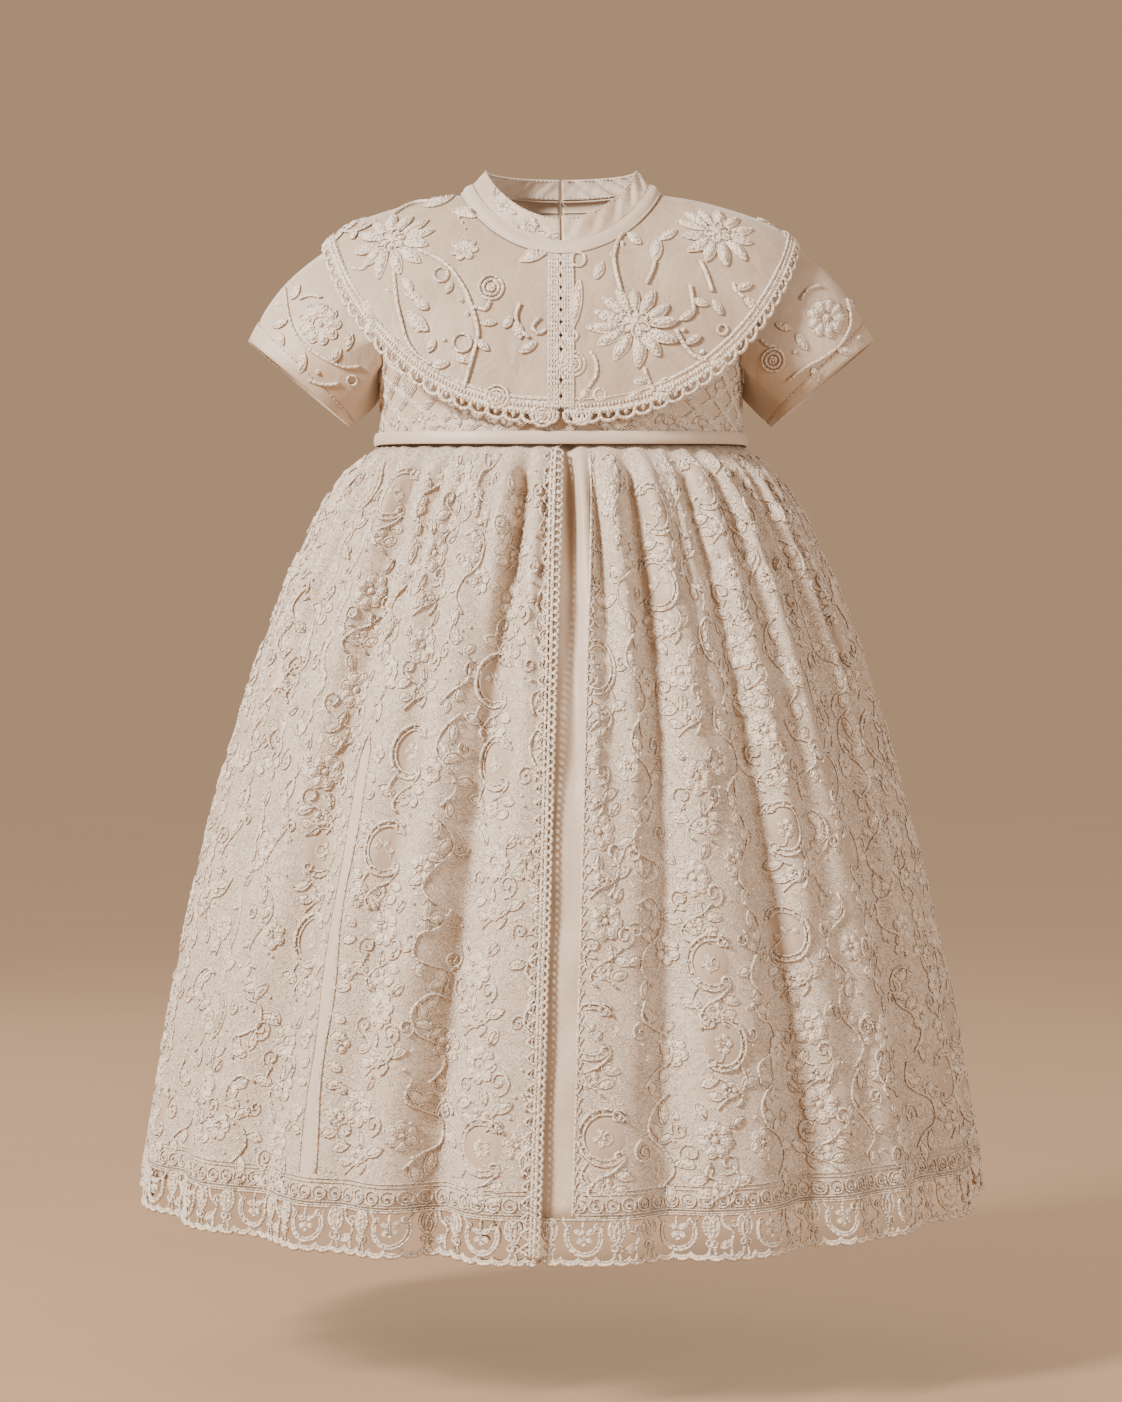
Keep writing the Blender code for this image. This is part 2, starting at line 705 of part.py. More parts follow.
def make_front_trim():
    """The scalloped trim on the lapping edge, from the waist to the lining hem."""
    rows = grid(PANEL_ROWS, left_angles, skirt_point)
    steps = TRIM_SCALLOPS * 2
    strip = []
    last = len(rows[0]) - 1
    for index in range(steps + 1):
        down = mix(TRIM_TOP, TRIM_FOOT, index / steps)
        low = max(place for place in range(len(PANEL_ROWS) - 1) if PANEL_ROWS[place] <= down)
        share = (down - PANEL_ROWS[low]) / (PANEL_ROWS[low + 1] - PANEL_ROWS[low])
        inside = mix(rows[low][last - 1], rows[low + 1][last - 1], share)
        edge = mix(rows[low][last], rows[low + 1][last], share)
        across = edge - inside
        down_way = rows[low + 1][last] - rows[low][last]
        normal = down_way.cross(across).normalized()
        if normal.y > 0:
            normal = -normal
        lift = normal * LIFT
        reach = across.normalized() * (TRIM_SCALLOP * MM if index % 2 else 0.0)
        strip.append([inside + across * TRIM_INSET + lift, edge + reach + lift])
    make_cloth("front_trim", strip, "lace", TRIM, outward=True)


def make_buttons():
    """Round buttons on the centre-back edges of the neck band and the waist band."""
    for button in BUTTONS:
        bpy.ops.mesh.primitive_cylinder_add(vertices=BUTTON_SIDES, radius=BUTTON_RADIUS * MM,
                                            depth=BUTTON_THICKNESS * MM)
        item = bpy.context.object
        item.name = button.name
        item.rotation_euler = (math.radians(-button.tilt), 0, 0)
        normal = item.rotation_euler.to_matrix() @ Vector((0, 0, 1))
        seat = ring_point(button.rings[1], button.degrees)
        item.location = seat + normal * (BUTTON_THICKNESS / 2 + BUTTON_GAP) * MM
        bevel = item.modifiers.new("Round edge", "BEVEL")
        bevel.width = BUTTON_BEVEL * MM
        bevel.segments = 2
        item.data.materials.append(make_material(button.name, "pearl"))
        item.data.shade_smooth()
        for collection in list(item.users_collection):
            collection.objects.unlink(item)
        GOWN.objects.link(item)


clear_scene()
GOWN = make_collection("christening_gown")
make_neck()
make_bodice()
make_sleeve("sleeve_left", -1)
make_sleeve("sleeve_right", 1)
make_capelet("capelet_left", -1)
make_capelet("capelet_right", 1)
for flower in FLOWERS:
    make_flower(flower)
make_waist_band()
make_skirt()
make_front_trim()
make_buttons()
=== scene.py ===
"""Christening gown: the looks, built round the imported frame.

Metres, +Z up, the front faces -Y. Angles go round the body in degrees, 0 at the centre front.
"""
import math
from collections import namedtuple

import bpy
import numpy as np
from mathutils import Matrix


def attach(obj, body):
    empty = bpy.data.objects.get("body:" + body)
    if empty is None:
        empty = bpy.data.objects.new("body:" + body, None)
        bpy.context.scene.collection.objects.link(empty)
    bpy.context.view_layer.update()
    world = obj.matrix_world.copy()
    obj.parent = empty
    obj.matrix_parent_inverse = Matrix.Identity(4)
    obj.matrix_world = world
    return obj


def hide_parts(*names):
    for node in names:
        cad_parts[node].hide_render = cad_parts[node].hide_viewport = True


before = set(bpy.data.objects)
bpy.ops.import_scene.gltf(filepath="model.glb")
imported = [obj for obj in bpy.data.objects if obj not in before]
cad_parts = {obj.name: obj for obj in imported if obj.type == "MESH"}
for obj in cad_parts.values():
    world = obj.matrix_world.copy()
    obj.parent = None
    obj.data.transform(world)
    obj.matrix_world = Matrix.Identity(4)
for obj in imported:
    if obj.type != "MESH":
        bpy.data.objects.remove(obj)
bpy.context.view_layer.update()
MM = 0.001

# The photograph's frame: pixels, metres a pixel at the gown's middle depth, and the camera
FRAME_WIDE = 1122
FRAME_HIGH = 1402
PIXEL = 0.000539
CAMERA_DISTANCE = 1.70
CAMERA_Z = -0.270

# The gown's rings in millimetres, as the solids have them: half width, front depth, back depth,
# height at the side, height at the front, height at the back, squareness
TORSO = np.array([
    (51.0, 45.3, 43.0, 1.0, -37.3, -1.8, 0.96),
    (72.0, 56.0, 52.0, -4.0, -56.0, -18.0, 0.93),
    (92.0, 64.0, 60.0, -10.0, -74.0, -38.0, 0.90),
    (112.0, 69.0, 65.0, -17.5, -92.0, -60.0, 0.86),
    (110.0, 71.5, 67.0, -36.0, -102.0, -78.0, 0.86),
    (107.0, 73.0, 69.0, -58.0, -111.0, -94.0, 0.88),
    (102.0, 74.0, 70.5, -82.0, -118.0, -106.0, 0.90),
    (97.0, 75.0, 72.0, -106.0, -125.0, -118.0, 0.92),
    (97.5, 75.5, 73.0, -132.0, -136.5, -134.5, 0.92),
])
ARMHOLE_ANGLE = [90, 90, 90, 90, 66, 60, 66, 90, 90]
CAPELET = np.array([
    (53.3, 48.0, 45.6, 2.6, -36.0, -0.4, 0.96),
    (74.5, 58.7, 54.8, -0.9, -54.0, -15.0, 0.92),
    (95.0, 67.2, 63.2, -6.5, -73.0, -35.0, 0.87),
    (112.5, 73.4, 69.4, -13.0, -95.0, -60.0, 0.82),
    (123.5, 77.6, 74.6, -20.5, -119.0, -88.0, 0.80),
    (127.5, 79.0, 76.2, -25.0, -127.0, -97.0, 0.80),
])
NECK_BAND = np.array([
    (47.8, 43.0, 41.0, 8.0, -28.5, 6.0, 0.98),
    (51.0, 45.8, 43.7, 6.3, -31.8, 3.6, 0.98),
    (52.8, 47.5, 45.2, 3.2, -35.3, 0.2, 0.97),
])
COLLAR = np.array([
    (40.5, 37.0, 37.5, 15.8, -15.2, 17.0, 1.0),
    (43.5, 39.8, 39.6, 12.3, -21.8, 12.0, 1.0),
    (47.2, 42.4, 40.6, 8.5, -28.0, 6.6, 0.98),
])
WAIST_BAND = np.array([
    (99.5, 77.4, 74.9, -126.6, -131.0, -129.0, 0.92),
    (100.3, 78.2, 75.7, -130.0, -134.5, -132.5, 0.92),
    (99.9, 77.8, 75.3, -133.3, -137.8, -135.8, 0.92),
])
DROP_POWER = 1.5

# Skirt rows: how far down, half width, gather depth
SKIRT = np.array([
    (0.00, 98.3, 0.9), (0.035, 112.0, 3.2), (0.10, 126.0, 4.2), (0.20, 143.5, 3.4),
    (0.32, 161.0, 2.2), (0.45, 176.0, 1.2), (0.60, 191.0, 0.5), (0.78, 206.5, 0.2),
    (1.00, 221.0, 0.0), (1.06, 223.5, 0.0),
])
DEPTH_RATIO = 0.768
SKIRT_SQUARE = 0.97
# Heights in millimetres at the side, front and back of the waist, the lining hem and the lace edge
WAIST_Z = (-133.8, -138.3, -136.3)
HEM_Z = (-510.0, -521.0, -514.0)
LACE_Z = (-531.5, -543.0, -536.0)
GATHERS = 48
PANEL_SIDE = 99.0
LAP_DEPTH = 4.2
UNDERLAP = 7.0
CLOTH_WIDTH = 1.45
SKIRT_LENGTH = 0.385

# Lace over the cloth, in millimetres of cloth: x round the body, y down from the waist
CLOTH_ROUND = CLOTH_WIDTH / MM
HEM = SKIRT_LENGTH / MM
LACE_SHARE = 0.06
BORDER = HEM * LACE_SHARE
# Lace columns, and the plain strips that take the place of some stems
COLUMNS = 23
COLUMN_PITCH = CLOTH_ROUND / COLUMNS
FIRST_COLUMN = -232.0
PLAIN_STRIPS = (1, 13, 18)
PLAIN_HALF = 4.6
PLAIN_TOP = 150.0
# The plain satin strip beside the front trim, and the left panel's edge in degrees at waist and hem
STRIP_WIDTH = 15.0
STRIP_COLUMNS = 14
LAP_ANGLES = (-0.4, -2.6)

# Main folds swing from waist to hem, start below the seam, and the cloth rises between them
FOLD_SWING = 1.15
FOLD_POWER = 0.8
FOLD_START = 0.06
WAIST_SPREAD = 0.62
WAIST_RISE = 2.6
HEM_RISE = 2.4
# Each fold: valley angle at the waist and the hem, depth there in millimetres, spread in degrees
FOLDS = np.array([
    (-8.0, -16.0, 10.0, 23.0, 4.2), (-20.0, -28.5, 3.0, 7.0, 4.0), (-33.0, -44.0, 7.0, 15.0, 6.0),
    (-54.0, -63.0, 4.0, 9.0, 5.5), (-76.0, -83.0, 4.0, 10.0, 6.0), (18.5, 13.5, 6.0, 13.0, 3.8),
    (31.5, 33.5, 7.0, 15.0, 4.4), (43.0, 44.5, 2.5, 5.0, 4.0), (55.0, 57.0, 5.0, 10.0, 5.0),
    (77.0, 78.0, 4.0, 10.0, 6.0), (97.0, 96.0, 4.0, 9.0, 5.0), (114.0, 111.5, 6.0, 14.0, 5.0),
    (130.0, 131.5, 4.0, 9.0, 5.0), (149.0, 147.0, 7.0, 17.0, 5.0), (167.0, 169.0, 4.0, 10.0, 5.0),
    (186.0, 185.0, 6.0, 15.0, 4.6), (205.0, 208.0, 5.0, 11.0, 5.0), (223.0, 222.0, 7.0, 16.0, 5.0),
    (243.0, 245.0, 4.0, 9.0, 5.0), (262.0, 259.5, 5.0, 12.0, 5.5),
])

# Sleeves
CUFF_TOP = (168.0, -76.5)
CUFF_FOOT = (114.0, -122.0)
CUFF_HALF_DEPTH = 31.0
HEAD_PUFF = 7.0
UNDERARM_PUFF = 1.5
SLEEVE_START = 0.8
SLEEVE_RUN = (0.65, -0.76)


# Curves and surfaces

# Degrees each side that a normal is taken over, and its step down on each kind of surface
NORMAL_SPAN = 0.25
SKIRT_STEP = 0.004
RING_STEP = 0.02
CUFF_STEP = 0.01


def mix(first, second, share):
    return first + (second - first) * share


def smoothstep(value):
    value = np.clip(value, 0.0, 1.0)
    return value * value * (3 - 2 * value)


def signed_power(value, power):
    return np.sign(value) * np.abs(value) ** power


def ripple(degrees, count, phase=0.0):
    """A sine wave with a count of crests in a full turn."""
    return np.sin(np.radians(degrees * count + phase))


def unit(vectors):
    return vectors / np.maximum(np.linalg.norm(vectors, axis=-1, keepdims=True), 1e-12)


def smooth_rows(table, place):
    """The table's row at each place, on a smooth curve through its rows."""
    last = len(table) - 1
    low = np.clip(place.astype(int), 0, last - 1)
    share = (place - low)[..., None]
    first = table[np.maximum(low - 1, 0)]
    before = table[low]
    after = table[low + 1]
    final = table[np.minimum(low + 2, last)]
    lead = (after - first) / 2
    trail = (final - before) / 2
    cube = share ** 3
    square = share ** 2
    return ((2 * cube - 3 * square + 1) * before + (cube - 2 * square + share) * lead
            + (3 * square - 2 * cube) * after + (cube - square) * trail)


def ring_surface(table):
    """A surface through a table of rings, by place down the table and degrees round."""
    def surface(place, degrees):
        place, degrees = np.broadcast_arrays(np.asarray(place, float), np.asarray(degrees, float))
        row = smooth_rows(table, place)
        angle = np.radians(degrees)
        turn = np.cos(angle)
        front = turn > 0
        depth = np.where(front, row[..., 1], row[..., 2])
        centre = np.where(front, row[..., 4], row[..., 5])
        x = row[..., 0] * signed_power(np.sin(angle), row[..., 6])
        y = -depth * signed_power(turn, row[..., 6])
        z = mix(row[..., 3], centre, np.abs(turn) ** DROP_POWER)
        return np.stack([x, y, z], -1) * MM
    return surface


def side_height(heights, turn):
    centre = np.where(turn > 0, heights[1], heights[2])
    return mix(heights[0], centre, np.abs(turn) ** DROP_POWER)


def fold_depth(down, degrees):
    """How far the main folds sink the cloth, in millimetres; below zero between them."""
    reach = np.clip(down * FOLD_SWING, 0.0, 1.0) ** FOLD_POWER
    start = np.minimum(down / FOLD_START, 1.0)
    depth = np.zeros(np.broadcast(down, degrees).shape)
    for waist, hem, top_depth, hem_depth, spread in FOLDS:
        apart = (degrees - mix(waist, hem, reach) + 180) % 360 - 180
        width = spread * mix(WAIST_SPREAD, 1.0, reach)
        depth += mix(top_depth, hem_depth, reach) * start * np.exp(-(apart / width) ** 2)
    return depth - WAIST_RISE * start - HEM_RISE * reach


def gather_wave(degrees):
    wobble = 2.2 * ripple(degrees, 5, 20) + 1.3 * ripple(degrees, 11)
    height = 0.8 + 0.2 * ripple(degrees, 7, 50)
    return height * np.cos(np.radians((degrees + wobble) * GATHERS))


def small_creases(down, degrees):
    """Soft uneven creases that run down from the gathers, in millimetres."""
    fade = np.exp(-(down / 0.38) ** 2) * np.minimum(down / 0.02, 1.0)
    drift = degrees + 2.0 * np.sin(down * 7 + degrees * 0.21)
    fine = 0.35 * ripple(drift, 96, 130) + 0.5 * ripple(drift, 71, 90)
    long = 0.8 * ripple(drift, 31, 60) * np.minimum(down / 0.2, 1.0)
    across = np.sin(down * 38 + degrees * 0.9) * 0.25 * np.minimum(down / 0.3, 1.0)
    return fine * fade + long * mix(1.0, 0.55, np.clip(down, 0, 1)) + across


def skirt_surface(down, degrees, sunk=0.0):
    """The skirt's outside, by place down from the waist and degrees round."""
    down, degrees = np.broadcast_arrays(np.asarray(down, float), np.asarray(degrees, float))
    half_width = skirt_half_width(down)
    half_depth = half_width * DEPTH_RATIO
    out = np.interp(down, SKIRT[:, 0], SKIRT[:, 2]) * gather_wave(degrees) - fold_depth(down, degrees)
    out = out - sunk + small_creases(down, degrees)
    angle = np.radians(degrees)
    turn = np.cos(angle)
    across = signed_power(np.sin(angle), SKIRT_SQUARE)
    along = signed_power(turn, SKIRT_SQUARE)
    outward = unit(np.stack([across / half_width, -along / half_depth], -1))
    hem = side_height(HEM_Z, turn)
    z = mix(side_height(WAIST_Z, turn), hem, np.minimum(down, 1.0))
    z = z + (side_height(LACE_Z, turn) - hem) * np.maximum(down - 1.0, 0.0) / LACE_SHARE
    return np.stack([half_width * across + outward[..., 0] * out,
                     outward[..., 1] * out - half_depth * along, z], -1) * MM


def skirt_half_width(down):
    return np.interp(down, SKIRT[:, 0], SKIRT[:, 1])


def lap_edge(down):
    """The angle of the left panel's edge, which lies over the right panel."""
    return mix(LAP_ANGLES[0], LAP_ANGLES[1], np.asarray(down, float))


def strip_edge(down):
    """The angle where the plain satin strip beside the front trim ends and the lace starts."""
    return lap_edge(down) + np.degrees(STRIP_WIDTH / skirt_half_width(down))


def under_surface(down, degrees):
    """The right front panel, which sinks under the lapping one."""
    beyond = np.asarray(degrees, float) - lap_edge(down)
    return skirt_surface(down, degrees, LAP_DEPTH * (1 - smoothstep((beyond - 1.0) / 6.0)))


def armhole_angle(place):
    return np.interp(place, range(len(ARMHOLE_ANGLE)), ARMHOLE_ANGLE)


torso_surface = ring_surface(TORSO)
capelet_surface = ring_surface(CAPELET)
collar_surface = ring_surface(COLLAR)
band_surface = ring_surface(NECK_BAND)
waist_surface = ring_surface(WAIST_BAND)


def sleeve_surface(side):
    """A sleeve, by step from armhole to cuff and degrees round it from its top, over the front."""
    top = np.array((side * CUFF_TOP[0], 0, CUFF_TOP[1])) * MM
    foot = np.array((side * CUFF_FOOT[0], 0, CUFF_FOOT[1])) * MM
    middle = (top + foot) / 2
    half = (top - foot) / 2
    up = half / np.linalg.norm(half)
    along = np.array((side * SLEEVE_RUN[0], 0, SLEEVE_RUN[1]))

    def surface(step, degrees):
        step, degrees = np.broadcast_arrays(np.asarray(step, float), np.asarray(degrees, float))
        degrees = degrees % 360
        front = degrees <= 180
        place = 3 + 4 * np.where(front, degrees, 360 - degrees) / 180
        round_angle = armhole_angle(place)
        start = torso_surface(place, side * np.where(front, round_angle, 180 - round_angle))
        turn = np.radians(degrees)
        rise = np.cos(turn)[..., None]
        deep = np.sin(turn)[..., None] * np.array((0, -1.0, 0))
        cuff = middle + half * rise + deep * CUFF_HALF_DEPTH * MM
        puff = mix(UNDERARM_PUFF, HEAD_PUFF, (1 + rise) / 2) * np.sin(np.pi * step)[..., None]
        share = step[..., None]
        soft = 0.9 * np.sin(turn * 3 + step * 2 + side)[..., None] * np.sin(np.pi * step)[..., None]
        out = (up * rise + deep) * (puff + soft) * MM
        return mix(start + along * SLEEVE_START * MM, cuff, share) + out
    return surface


def normal_at(surface, down, across, step_down, flip=1.0):
    """The outward normal of a surface, from how it runs either side of a place."""
    fall = surface(down + step_down, across) - surface(down - step_down, across)
    run = surface(down, across + NORMAL_SPAN) - surface(down, across - NORMAL_SPAN)
    return unit(np.cross(fall, run) * flip)


# Meshes

class Bag:
    """Vertices and faces gathered from many small shapes, made into one mesh."""

    def __init__(self):
        self.points = []
        self.faces = {}
        self.count = 0

    def add(self, points, *faces):
        points = np.asarray(points, float).reshape(-1, 3)
        for group in faces:
            group = np.asarray(group, int)
            self.faces.setdefault(group.shape[1], []).append(group + self.count)
        self.points.append(points)
        self.count += len(points)

    def build(self, name, material, uvs=None):
        points = np.concatenate(self.points)
        groups = [np.concatenate(self.faces[size]) for size in sorted(self.faces)]
        mesh = bpy.data.meshes.new(name)
        mesh.vertices.add(len(points))
        mesh.vertices.foreach_set("co", points.ravel())
        sizes = np.concatenate([np.full(len(group), group.shape[1]) for group in groups])
        corners = np.concatenate([group.ravel() for group in groups])
        mesh.loops.add(len(corners))
        mesh.loops.foreach_set("vertex_index", corners)
        mesh.polygons.add(len(sizes))
        mesh.polygons.foreach_set("loop_start", np.concatenate([[0], np.cumsum(sizes)[:-1]]))
        mesh.polygons.foreach_set("loop_total", sizes)
        mesh.update(calc_edges=True)
        mesh.validate()
        mesh.shade_smooth()
        if uvs is not None:
            layer = mesh.uv_layers.new(name="cloth")
            layer.data.foreach_set("uv", np.asarray(uvs)[corners].ravel())
        mesh.materials.append(material)
        item = bpy.data.objects.new(name, mesh)
        bpy.context.scene.collection.objects.link(item)
        return item


def grid_faces(rows, columns, wraps=False):
    spans = columns if wraps else columns - 1
    row, column = np.meshgrid(np.arange(rows - 1), np.arange(spans), indexing="ij")
    beside = (column + 1) % columns
    top = row * columns
    return np.stack([top + column, top + columns + column, top + columns + beside, top + beside],
                    -1).reshape(-1, 4)


def shell(name, surface, downs, acrosses, thickness, material, cloth_uv=None, wraps=False, flip=1.0,
          puff=None, step_down=SKIRT_STEP, plain_columns=0, plain=None):
    """A cloth shell between a surface and the same surface moved in by its thickness."""
    downs = np.asarray(downs, float)[:, None]
    acrosses = np.atleast_2d(np.asarray(acrosses, float))
    down, across = np.broadcast_arrays(downs, acrosses)
    normal = normal_at(surface, down, across, step_down=step_down, flip=flip)
    outer = surface(down, across)
    if puff is not None:
        outer = outer + normal * puff(down, across)[..., None]
    inner = outer - normal * thickness
    rows, columns = down.shape
    faces = grid_faces(rows, columns, wraps)
    if flip < 0:
        faces = faces[:, ::-1]
    count = rows * columns
    first = faces
    second = faces[:, ::-1] + count
    edges = np.concatenate([first[:, [index - 1, index]] for index in range(4)])
    keys = edges[:, 0] * count + edges[:, 1]
    back = edges[:, 1] * count + edges[:, 0]
    rims = edges[~np.isin(keys, back)]
    rim_faces = np.stack([rims[:, 1], rims[:, 0], rims[:, 0] + count, rims[:, 1] + count], -1)
    bag = Bag()
    bag.add(np.concatenate([outer.reshape(-1, 3), inner.reshape(-1, 3)]),
            np.concatenate([first, second, rim_faces]))
    uvs = None
    if cloth_uv is not None:
        flat = np.stack(cloth_uv(down, across), -1).reshape(-1, 2)
        uvs = np.concatenate([flat, flat])
    item = bag.build(name, material, uvs)
    if plain_columns:
        item.data.materials.append(plain)
        columns_of = faces[:, 0] % columns
        marks = np.concatenate([columns_of, columns_of, np.full(len(rim_faces), columns)]) < plain_columns
        item.data.polygons.foreach_set("material_index", marks.astype(np.int32))
    return item


def add_tube(bag, points, normals, radius, sides=5, closed=False):
    """A round cord along points, lying on the given normals."""
    points = np.asarray(points, float)
    count = len(points)
    if closed:
        ahead = np.roll(points, -1, axis=0) - np.roll(points, 1, axis=0)
    else:
        ahead = np.gradient(points, axis=0)
    ahead = unit(ahead)
    beside = unit(np.cross(ahead, normals))
    above = np.cross(beside, ahead)
    radius = np.broadcast_to(np.asarray(radius, float), (count,))[:, None, None]
    turn = np.arange(sides) * 2 * np.pi / sides
    ring = (beside[:, None, :] * np.cos(turn)[None, :, None]
            + above[:, None, :] * np.sin(turn)[None, :, None])
    tube = points[:, None, :] + ring * radius
    row, column = np.meshgrid(np.arange(count if closed else count - 1), np.arange(sides), indexing="ij")
    after = (row + 1) % count
    beside_column = (column + 1) % sides
    faces = np.stack([row * sides + column, row * sides + beside_column,
                      after * sides + beside_column, after * sides + column], -1).reshape(-1, 4)
    if closed:
        bag.add(tube, faces)
        return
    caps = np.array([np.arange(sides)[::-1], np.arange(sides) + (count - 1) * sides])
    bag.add(tube, faces, caps)


def resample(path, spacing, closed=False):
    """Points evenly along a path of any dimension."""
    path = np.asarray(path, float)
    if closed:
        path = np.concatenate([path, path[:1]])
    gaps = np.linalg.norm(np.diff(path, axis=0), axis=-1)
    length = np.concatenate([[0], np.cumsum(gaps)])
    count = max(int(round(length[-1] / spacing)), 2)
    places = np.linspace(0, length[-1], count + 1)
    if closed:
        places = places[:-1]
    return np.stack([np.interp(places, length, path[:, axis]) for axis in range(path.shape[1])], -1)


def curve(points, samples=6):
    """A smooth curve through a few points."""
    points = np.asarray(points, float)
    place = np.linspace(0, len(points) - 1, (len(points) - 1) * samples + 1)
    return smooth_rows(points, place)


def arc(centre, radius, first, last, count, squash=1.0):
    """Points on an arc; angles in degrees, clockwise on cloth whose y runs down."""
    turn = np.radians(np.linspace(first, last, count))
    return np.stack([centre[0] + radius * np.cos(turn), centre[1] + radius * squash * np.sin(turn)], -1)


def turned(points, degrees, move=(0, 0), mirror=False):
    points = np.asarray(points, float)
    if mirror:
        points = points * np.array((-1, 1))
    angle = math.radians(degrees)
    cos, sin = math.cos(angle), math.sin(angle)
    return np.stack([points[:, 0] * cos - points[:, 1] * sin + move[0],
                     points[:, 0] * sin + points[:, 1] * cos + move[1]], -1)


# Materials: each is a Principled shader with procedural colour and bump

class Nodes:
    """A short way to wire one material's nodes."""

    def __init__(self, name):
        self.material = bpy.data.materials.new(name)
        self.material.use_nodes = True
        self.tree = self.material.node_tree
        self.shader = self.tree.nodes["Principled BSDF"]

    def add(self, kind, inputs=None, **settings):
        node = self.tree.nodes.new(kind)
        for key, value in settings.items():
            setattr(node, key, value)
        for key, value in (inputs or {}).items():
            self.set(node.inputs[key], value)
        return node

    def set(self, socket, value):
        if isinstance(value, bpy.types.NodeSocket):
            self.tree.links.new(value, socket)
        else:
            socket.default_value = value

    def maths(self, operation, *values):
        inputs = dict(enumerate(values))
        return self.add("ShaderNodeMath", inputs, operation=operation).outputs[0]

    def remap(self, value, low, high, new_low=0.0, new_high=1.0):
        """A soft step from one range to another."""
        inputs = {"Value": value, "From Min": low, "From Max": high, "To Min": new_low, "To Max": new_high}
        return self.add("ShaderNodeMapRange", inputs, interpolation_type="SMOOTHSTEP").outputs["Result"]

    def line(self, value, middle, near, far):
        """One where a value lies near its middle, and nothing beyond the far distance."""
        apart = self.maths("ABSOLUTE", self.maths("SUBTRACT", value, middle))
        return self.remap(apart, near, far, 1.0, 0.0)

    def blend(self, share, first, second):
        inputs = {"Factor": share, "A": first, "B": second}
        return self.add("ShaderNodeMix", inputs, data_type="RGBA").outputs["Result"]

    def place(self, scale=(1, 1, 1)):
        source = self.add("ShaderNodeTexCoord").outputs["Object"]
        return self.add("ShaderNodeMapping", {"Vector": source, "Scale": scale}).outputs[0]

    def noise(self, vector, scale, detail=3.0, rough=0.55, distortion=0.0):
        inputs = {"Vector": vector, "Scale": scale, "Detail": detail, "Roughness": rough,
                  "Distortion": distortion}
        return self.add("ShaderNodeTexNoise", inputs).outputs[0]

    def cells(self, vector, scale, feature="F1"):
        inputs = {"Vector": vector, "Scale": scale}
        return self.add("ShaderNodeTexVoronoi", inputs, feature=feature).outputs["Distance"]

    def bump(self, height, distance, strength=1.0, after=None):
        inputs = {"Height": height, "Distance": distance, "Strength": strength}
        if after is not None:
            inputs["Normal"] = after
        return self.add("ShaderNodeBump", inputs).outputs[0]

    def finish(self, colour, rough, normal, sheen=0.0, coat=0.0, specular=0.3):
        for key, value in (("Base Color", colour), ("Roughness", rough), ("Normal", normal)):
            self.set(self.shader.inputs[key], value)
        self.shader.inputs["Sheen Weight"].default_value = sheen
        self.shader.inputs["Sheen Roughness"].default_value = 0.45
        self.shader.inputs["Coat Weight"].default_value = coat
        self.shader.inputs["Specular IOR Level"].default_value = specular
        return self.material


# Colours, light and dark for each cloth
SATIN_LIGHT = (0.560, 0.450, 0.350, 1)
SATIN_DARK = (0.465, 0.360, 0.268, 1)
GROUND_DARK = (0.430, 0.325, 0.240, 1)
CAPELET_LIGHT = (0.465, 0.358, 0.265, 1)
CAPELET_DARK = (0.392, 0.296, 0.212, 1)
BAND_LIGHT = (0.590, 0.480, 0.382, 1)
BAND_DARK = (0.520, 0.412, 0.320, 1)
LACE_LIGHT = (0.820, 0.710, 0.600, 1)
LACE_DARK = (0.640, 0.520, 0.410, 1)
# Satin seen through the net: darker than bare satin, partly its own tone under the net and partly painted
# shade under the lace layer
SHADED_NET_GROUND = (0.460, 0.345, 0.250, 1)
ORGANZA_LIGHT = (0.610, 0.500, 0.400, 1)
PEARL = (0.660, 0.550, 0.440, 1)
WORLD_COLOUR = (0.46, 0.285, 0.170, 1)
WORLD_STRENGTH = 1.0
FLOOR_LIGHT = (0.240, 0.150, 0.090, 1)
FLOOR_DARK = (0.220, 0.135, 0.080, 1)
# The floor glows with what it does not reflect of the room's light, so it meets the room with no line
FLOOR_GLOW = tuple(room * (1 - (light + dark) / 2)
                   for room, light, dark in zip(WORLD_COLOUR[:3], FLOOR_LIGHT, FLOOR_DARK)) + (1,)


def satin(name, light=SATIN_LIGHT, dark=SATIN_DARK, rough=0.5, crease=1.0):
    """Soft satin: fine weave threads, slow colour drift and slight creases."""
    nodes = Nodes(name)
    drift = nodes.noise(nodes.place(), 34.0, 4.0)
    slub = nodes.noise(nodes.place((1, 1, 9)), 420.0, 2.0)
    tone = nodes.maths("MULTIPLY_ADD", slub, 0.35, nodes.maths("MULTIPLY", drift, 0.65))
    colour = nodes.blend(nodes.remap(tone, 0.38, 0.62), dark, light)
    weave = nodes.noise(nodes.place((1, 1, 0.25)), 3400.0, 1.0)
    creases = nodes.noise(nodes.place((1.0, 1.0, 0.5)), 62.0, 3.0, 0.5, 0.6)
    normal = nodes.bump(creases, 0.0022 * crease, 0.55, nodes.bump(weave, 0.00012, 0.35))
    return nodes.finish(colour, nodes.remap(slub, 0.3, 0.7, rough - 0.06, rough + 0.08), normal,
                        sheen=0.25, specular=0.38)


